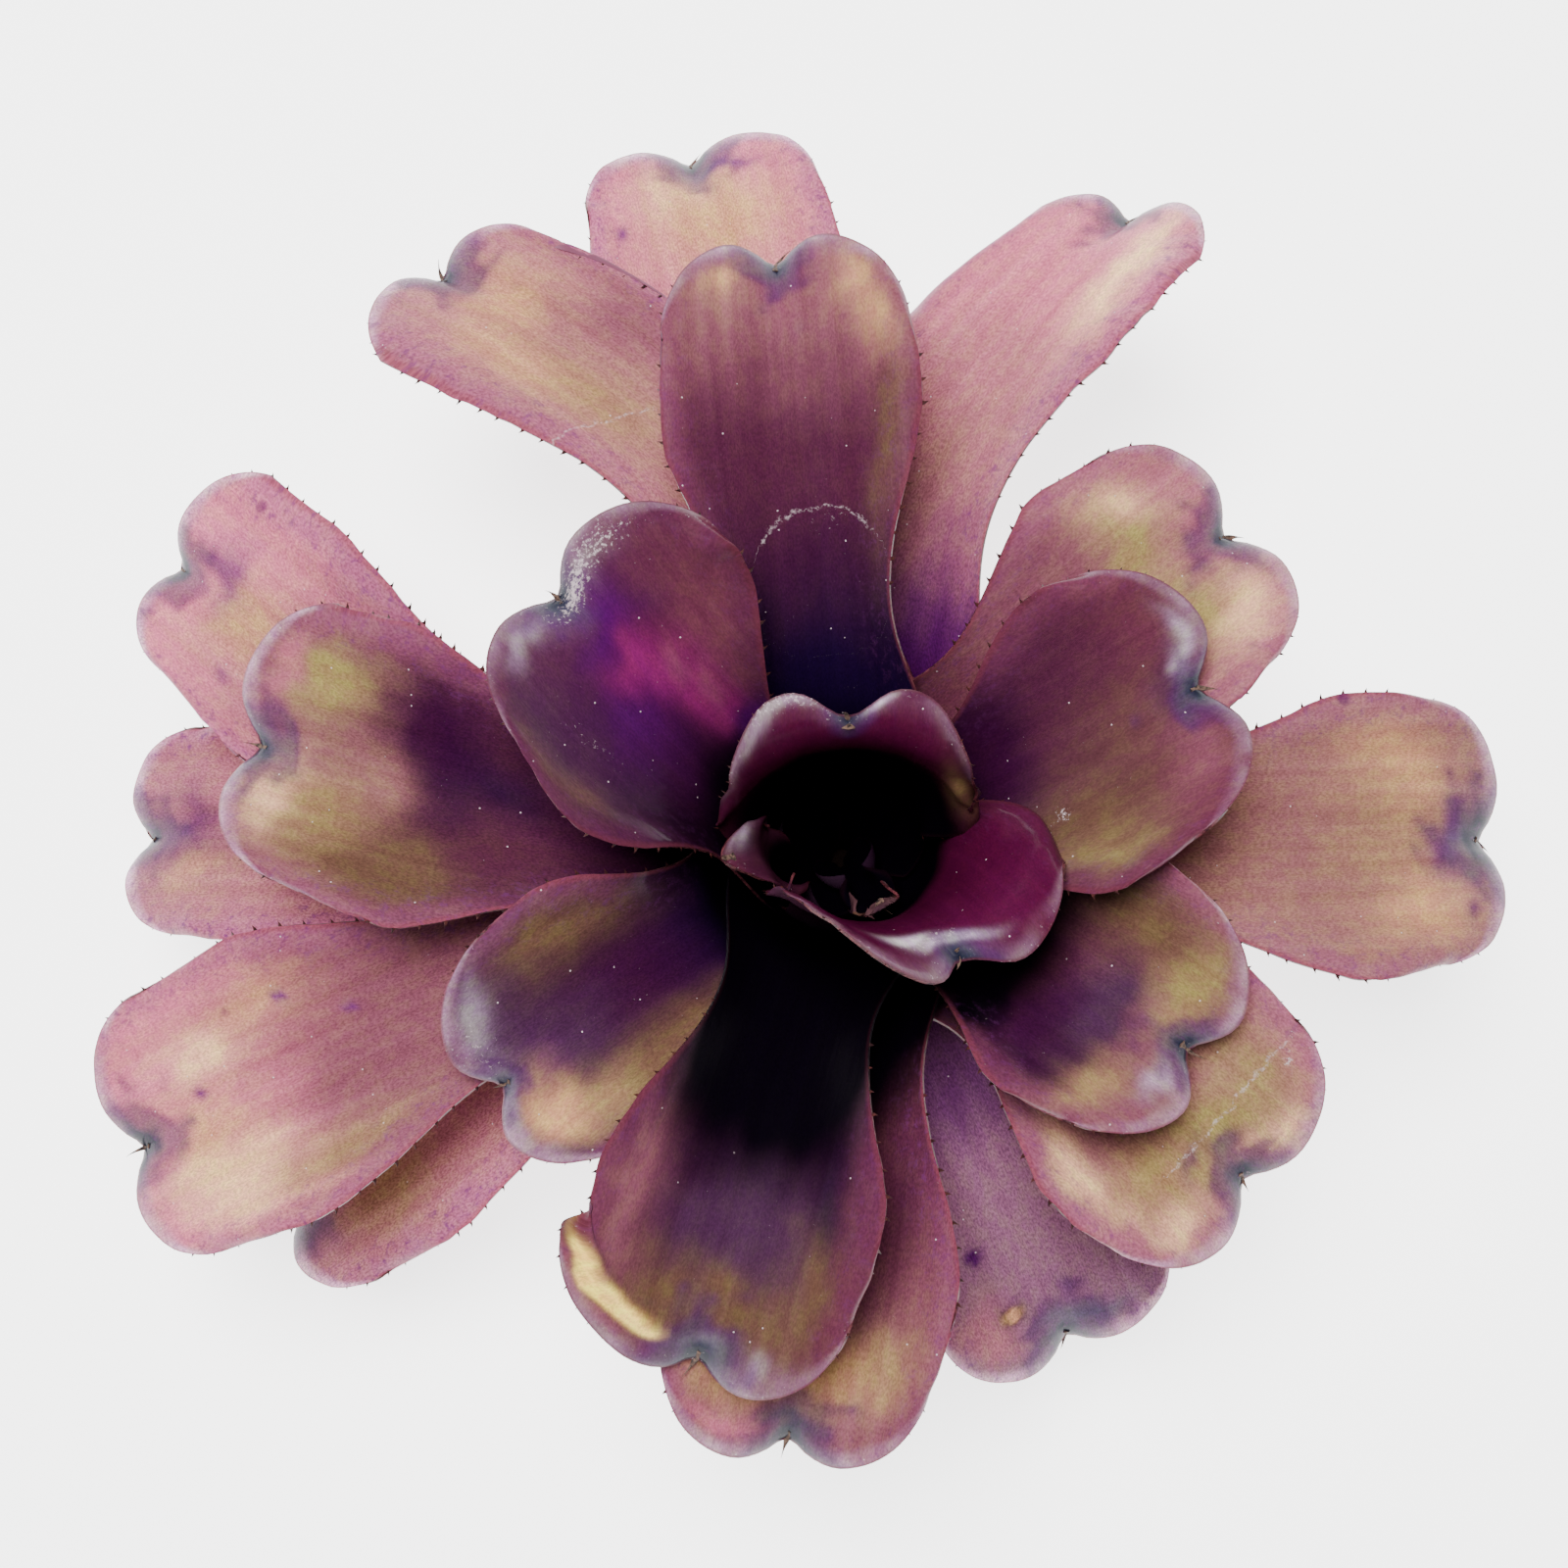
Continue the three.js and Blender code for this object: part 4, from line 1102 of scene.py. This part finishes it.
def set_teeth(leaf, dice):
    corners, faces = [], []
    for side in (-1, 1):
        u, q = margin_path(side)
        rim = fine_place(leaf, u, q) / MM
        inner = fine_place(leaf, u - 0.01 * (np.abs(q) < 1), q * 0.97) / MM
        gone = lengths_along(rim)
        for at in np.arange(FIRST_TOOTH, gone[-1], TOOTH_GAP):
            at = at + dice.uniform(-TOOTH_STRAY, TOOTH_STRAY)
            i = int(np.clip(np.searchsorted(gone, at), 1, len(gone) - 2))
            forwards = rim[i + 1] - rim[i - 1]
            forwards /= np.linalg.norm(forwards)
            outwards = rim[i] - inner[i]
            outwards -= forwards * (outwards @ forwards)
            outwards /= np.linalg.norm(outwards)
            facing = np.cross(forwards, outwards)
            fade = 1 - TOOTH_FADE * float(smoothstep(at / gone[-1], FADE_FROM, 1))
            size = fade * dice.uniform(*TOOTH_SIZES) * (YOUNG_TOOTH if leaf.layer < YOUNG_LEAVES else 1)
            base = sum(len(part) for part in corners)
            corners.append(rim[i] + size * (tooth_corners @ np.array([forwards, outwards, facing])))
            faces += [tuple(base + k for k in face) for face in tooth_faces]
    return np.concatenate(corners) * MM, faces


def piece_from(name, corners, faces, skin):
    mesh = bpy.data.meshes.new(name)
    mesh.from_pydata([tuple(c) for c in corners], [], faces)
    mesh.materials.append(skin)
    piece = bpy.data.objects.new(name, mesh)
    bpy.context.collection.objects.link(piece)
    return piece


# %% Lay the dry point along its curl
POINT_LENGTH = 9.0
POINT_RADIUS = 1.9
POINT_TAPER = 1.6
POINT_END = 0.06
POINT_FLATNESS = 0.6
POINT_KNOTS = (0.2, 7)
POINT_SUNK = 3.5
POINT_CURLS = (50, 130)
POINT_SWINGS = (-60, 60)
POINT_LENGTHS = (0.7, 1.15)


def lay_point(leaf, dice):
    end, before = fine_place(leaf, 1, 0) / MM, fine_place(leaf, 0.96, 0) / MM
    lobe = fine_place(leaf, 1, 0.15) / MM
    forwards = (end - before) / np.linalg.norm(end - before)
    sideways = lobe - end
    sideways -= forwards * (sideways @ forwards)
    sideways /= np.linalg.norm(sideways)
    upwards = np.cross(forwards, sideways)
    curl = math.radians(dice.uniform(*POINT_CURLS))
    swing = math.radians(dice.uniform(*POINT_SWINGS))
    length = POINT_LENGTH * dice.uniform(*POINT_LENGTHS)
    spot = end - forwards * POINT_SUNK
    placed = np.empty_like(point_corners)
    order = np.round(point_corners[:, 2] * POINT_STEPS).astype(int)
    for step in range(POINT_STEPS + 1):
        share = step / POINT_STEPS
        lifted = forwards * math.cos(curl * share) + upwards * math.sin(curl * share)
        way = lifted * math.cos(swing * share) + sideways * math.sin(swing * share)
        way /= np.linalg.norm(way)
        aside = np.cross(upwards, way)
        aside /= np.linalg.norm(aside)
        above = np.cross(way, aside)
        knot = 1 + POINT_KNOTS[0] * math.sin(POINT_KNOTS[1] * share + leaf.layer)
        radius = POINT_RADIUS * (1 - share) ** POINT_TAPER * knot + POINT_END
        ring = order == step
        flat = point_corners[ring]
        placed[ring] = spot + radius * (flat[:, :1] * aside + POINT_FLATNESS * flat[:, 1:2] * above)
        spot = spot + way * length / POINT_STEPS
    return placed * MM, point_faces


# %% Make every leaf, with its teeth and dry point joined on, so that it is one piece
SMOOTH_BELOW = math.radians(50)


def make_leaf(layer):
    leaf = Leaf(layer)
    name = f"leaf_{layer + 1:02d}"
    dice = np.random.default_rng(100 + layer)
    bpy.ops.object.select_all(action="DESELECT")
    sheet = make_sheet(leaf, f"{name}_fine")
    teeth = piece_from("teeth", *set_teeth(leaf, dice), skins[3])
    point = piece_from("point", *lay_point(leaf, dice), skins[4])
    bpy.ops.object.select_all(action="DESELECT")
    for part in (teeth, point, sheet):
        part.select_set(True)
    bpy.context.view_layer.objects.active = sheet
    bpy.ops.object.join()
    bpy.ops.object.shade_smooth_by_angle(angle=SMOOTH_BELOW)
    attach(sheet, "root")
    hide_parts(name)
    return sheet


leaves = [make_leaf(layer) for layer in range(len(LEAVES))]
print(len(leaves), "leaves,", sum(len(leaf.data.polygons) for leaf in leaves), "faces")


# %% [markdown]
# ## The stem
# Under the leaves is a short stump, cut flat where the plant was lifted. It is hidden from above, but it is
# what the plant stands on, so it gets the rings that old leaves leave on it and a fibrous brown finish. A
# cylinder is added, cut into rings, and its walls are pushed in and out ring by ring.

# %% Model the stem
STUB_RADIUS = 24.6
STEM_SIDES = 96
RING_CUTS = 22
STEM_SUNK = 0.4
FOOT_CHAMFER = 0.8
SCAR_DEPTH = 0.35
SCAR_RATES = (2.1, 3)
STEM_UNEVEN = 0.25
STEM_RING_SCALE = (90, 90, 700)
FIBRE_SCALE = (900, 900, 60)
BARK_DARK, BARK_LIGHT = (82, 60, 42), (150, 120, 86)
FIBRE_TONE = (186, 160, 122)
SHADED_TONE = (20, 12, 10)
SHADED_FROM = (0.01, 0.03)


def stem_skin():
    """Brown rings with paler fibres, and painted shade, nearly black, higher up, where the sheaths close over
    it.
    """
    wire = Wiring("stem_fibre")
    solid = wire.add("ShaderNodeTexCoord", "Object")
    rings = wire.noise(wire.scaled(solid, STEM_RING_SCALE), 1.0, 4.0, 0.6)
    fibres = wire.noise(wire.scaled(solid, FIBRE_SCALE), 1.0, 3.0, 0.6)
    colour = wire.mix(wire.step(rings, 0.35, 0.65), srgb(*BARK_DARK), srgb(*BARK_LIGHT))
    colour = wire.mix(wire.math("MULTIPLY", wire.step(fibres, 0.5, 0.7), 0.5), colour, srgb(*FIBRE_TONE))
    height = wire.add("ShaderNodeSeparateXYZ", "Z", _0=solid)
    colour = wire.mix(wire.step(height, *SHADED_FROM), colour, srgb(*SHADED_TONE))
    relief = wire.math("ADD", rings, wire.math("MULTIPLY", fibres, 0.5))
    bump = wire.add("ShaderNodeBump", Strength=0.7, Distance=0.0015, Height=relief)
    wire.set(Base_Color=colour, Roughness=wire.spread(fibres, 0.75, 0.95), Normal=bump)
    return wire.material


def make_stem():
    bpy.ops.object.select_all(action="DESELECT")
    top = (DOME["base"] + DOME["height"]) * MM
    shape = {"vertices": STEM_SIDES, "radius": 1, "depth": top, "end_fill_type": "TRIFAN"}
    bpy.ops.mesh.primitive_cylinder_add(location=(0, 0, top / 2), **shape)
    stem = bpy.context.object
    stem.name = "stem_fine"
    bpy.ops.object.transform_apply(location=True, rotation=False, scale=False)
    bpy.ops.object.mode_set(mode="EDIT")
    for cut in range(1, RING_CUTS):
        bpy.ops.mesh.select_all(action="SELECT")
        bpy.ops.mesh.bisect(plane_co=(0, 0, top * cut / RING_CUTS), plane_no=(0, 0, 1))
    bpy.ops.object.mode_set(mode="OBJECT")
    for vertex in stem.data.vertices:
        x, y, z = vertex.co
        height = z / MM
        turn = math.atan2(y, x)
        # The middles of the two flat ends stay where they are.
        if math.hypot(x, y) < 0.5:
            continue
        above = max(0, height - DOME["base"]) / DOME["height"]
        radius = STUB_RADIUS if height <= DOME["base"] else DOME["radius"] * math.sqrt(max(0, 1 - above**2))
        uneven = noise.noise(Vector((4 * math.cos(turn), 4 * math.sin(turn), height / 2)))
        scar = SCAR_DEPTH * math.sin(SCAR_RATES[0] * height + SCAR_RATES[1] * turn) + STEM_UNEVEN * uneven
        radius = max(0.2, radius - STEM_SUNK + scar * min(1, radius / 10))
        if height < 0.5:
            radius -= FOOT_CHAMFER
        vertex.co = (radius * math.cos(turn) * MM, radius * math.sin(turn) * MM, z)
    bpy.ops.object.shade_smooth_by_angle(angle=math.radians(55))
    stem.data.materials.append(stem_skin())
    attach(stem, "root")
    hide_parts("stem")
    return stem


stem = make_stem()
print("stem", len(stem.data.polygons), "faces")
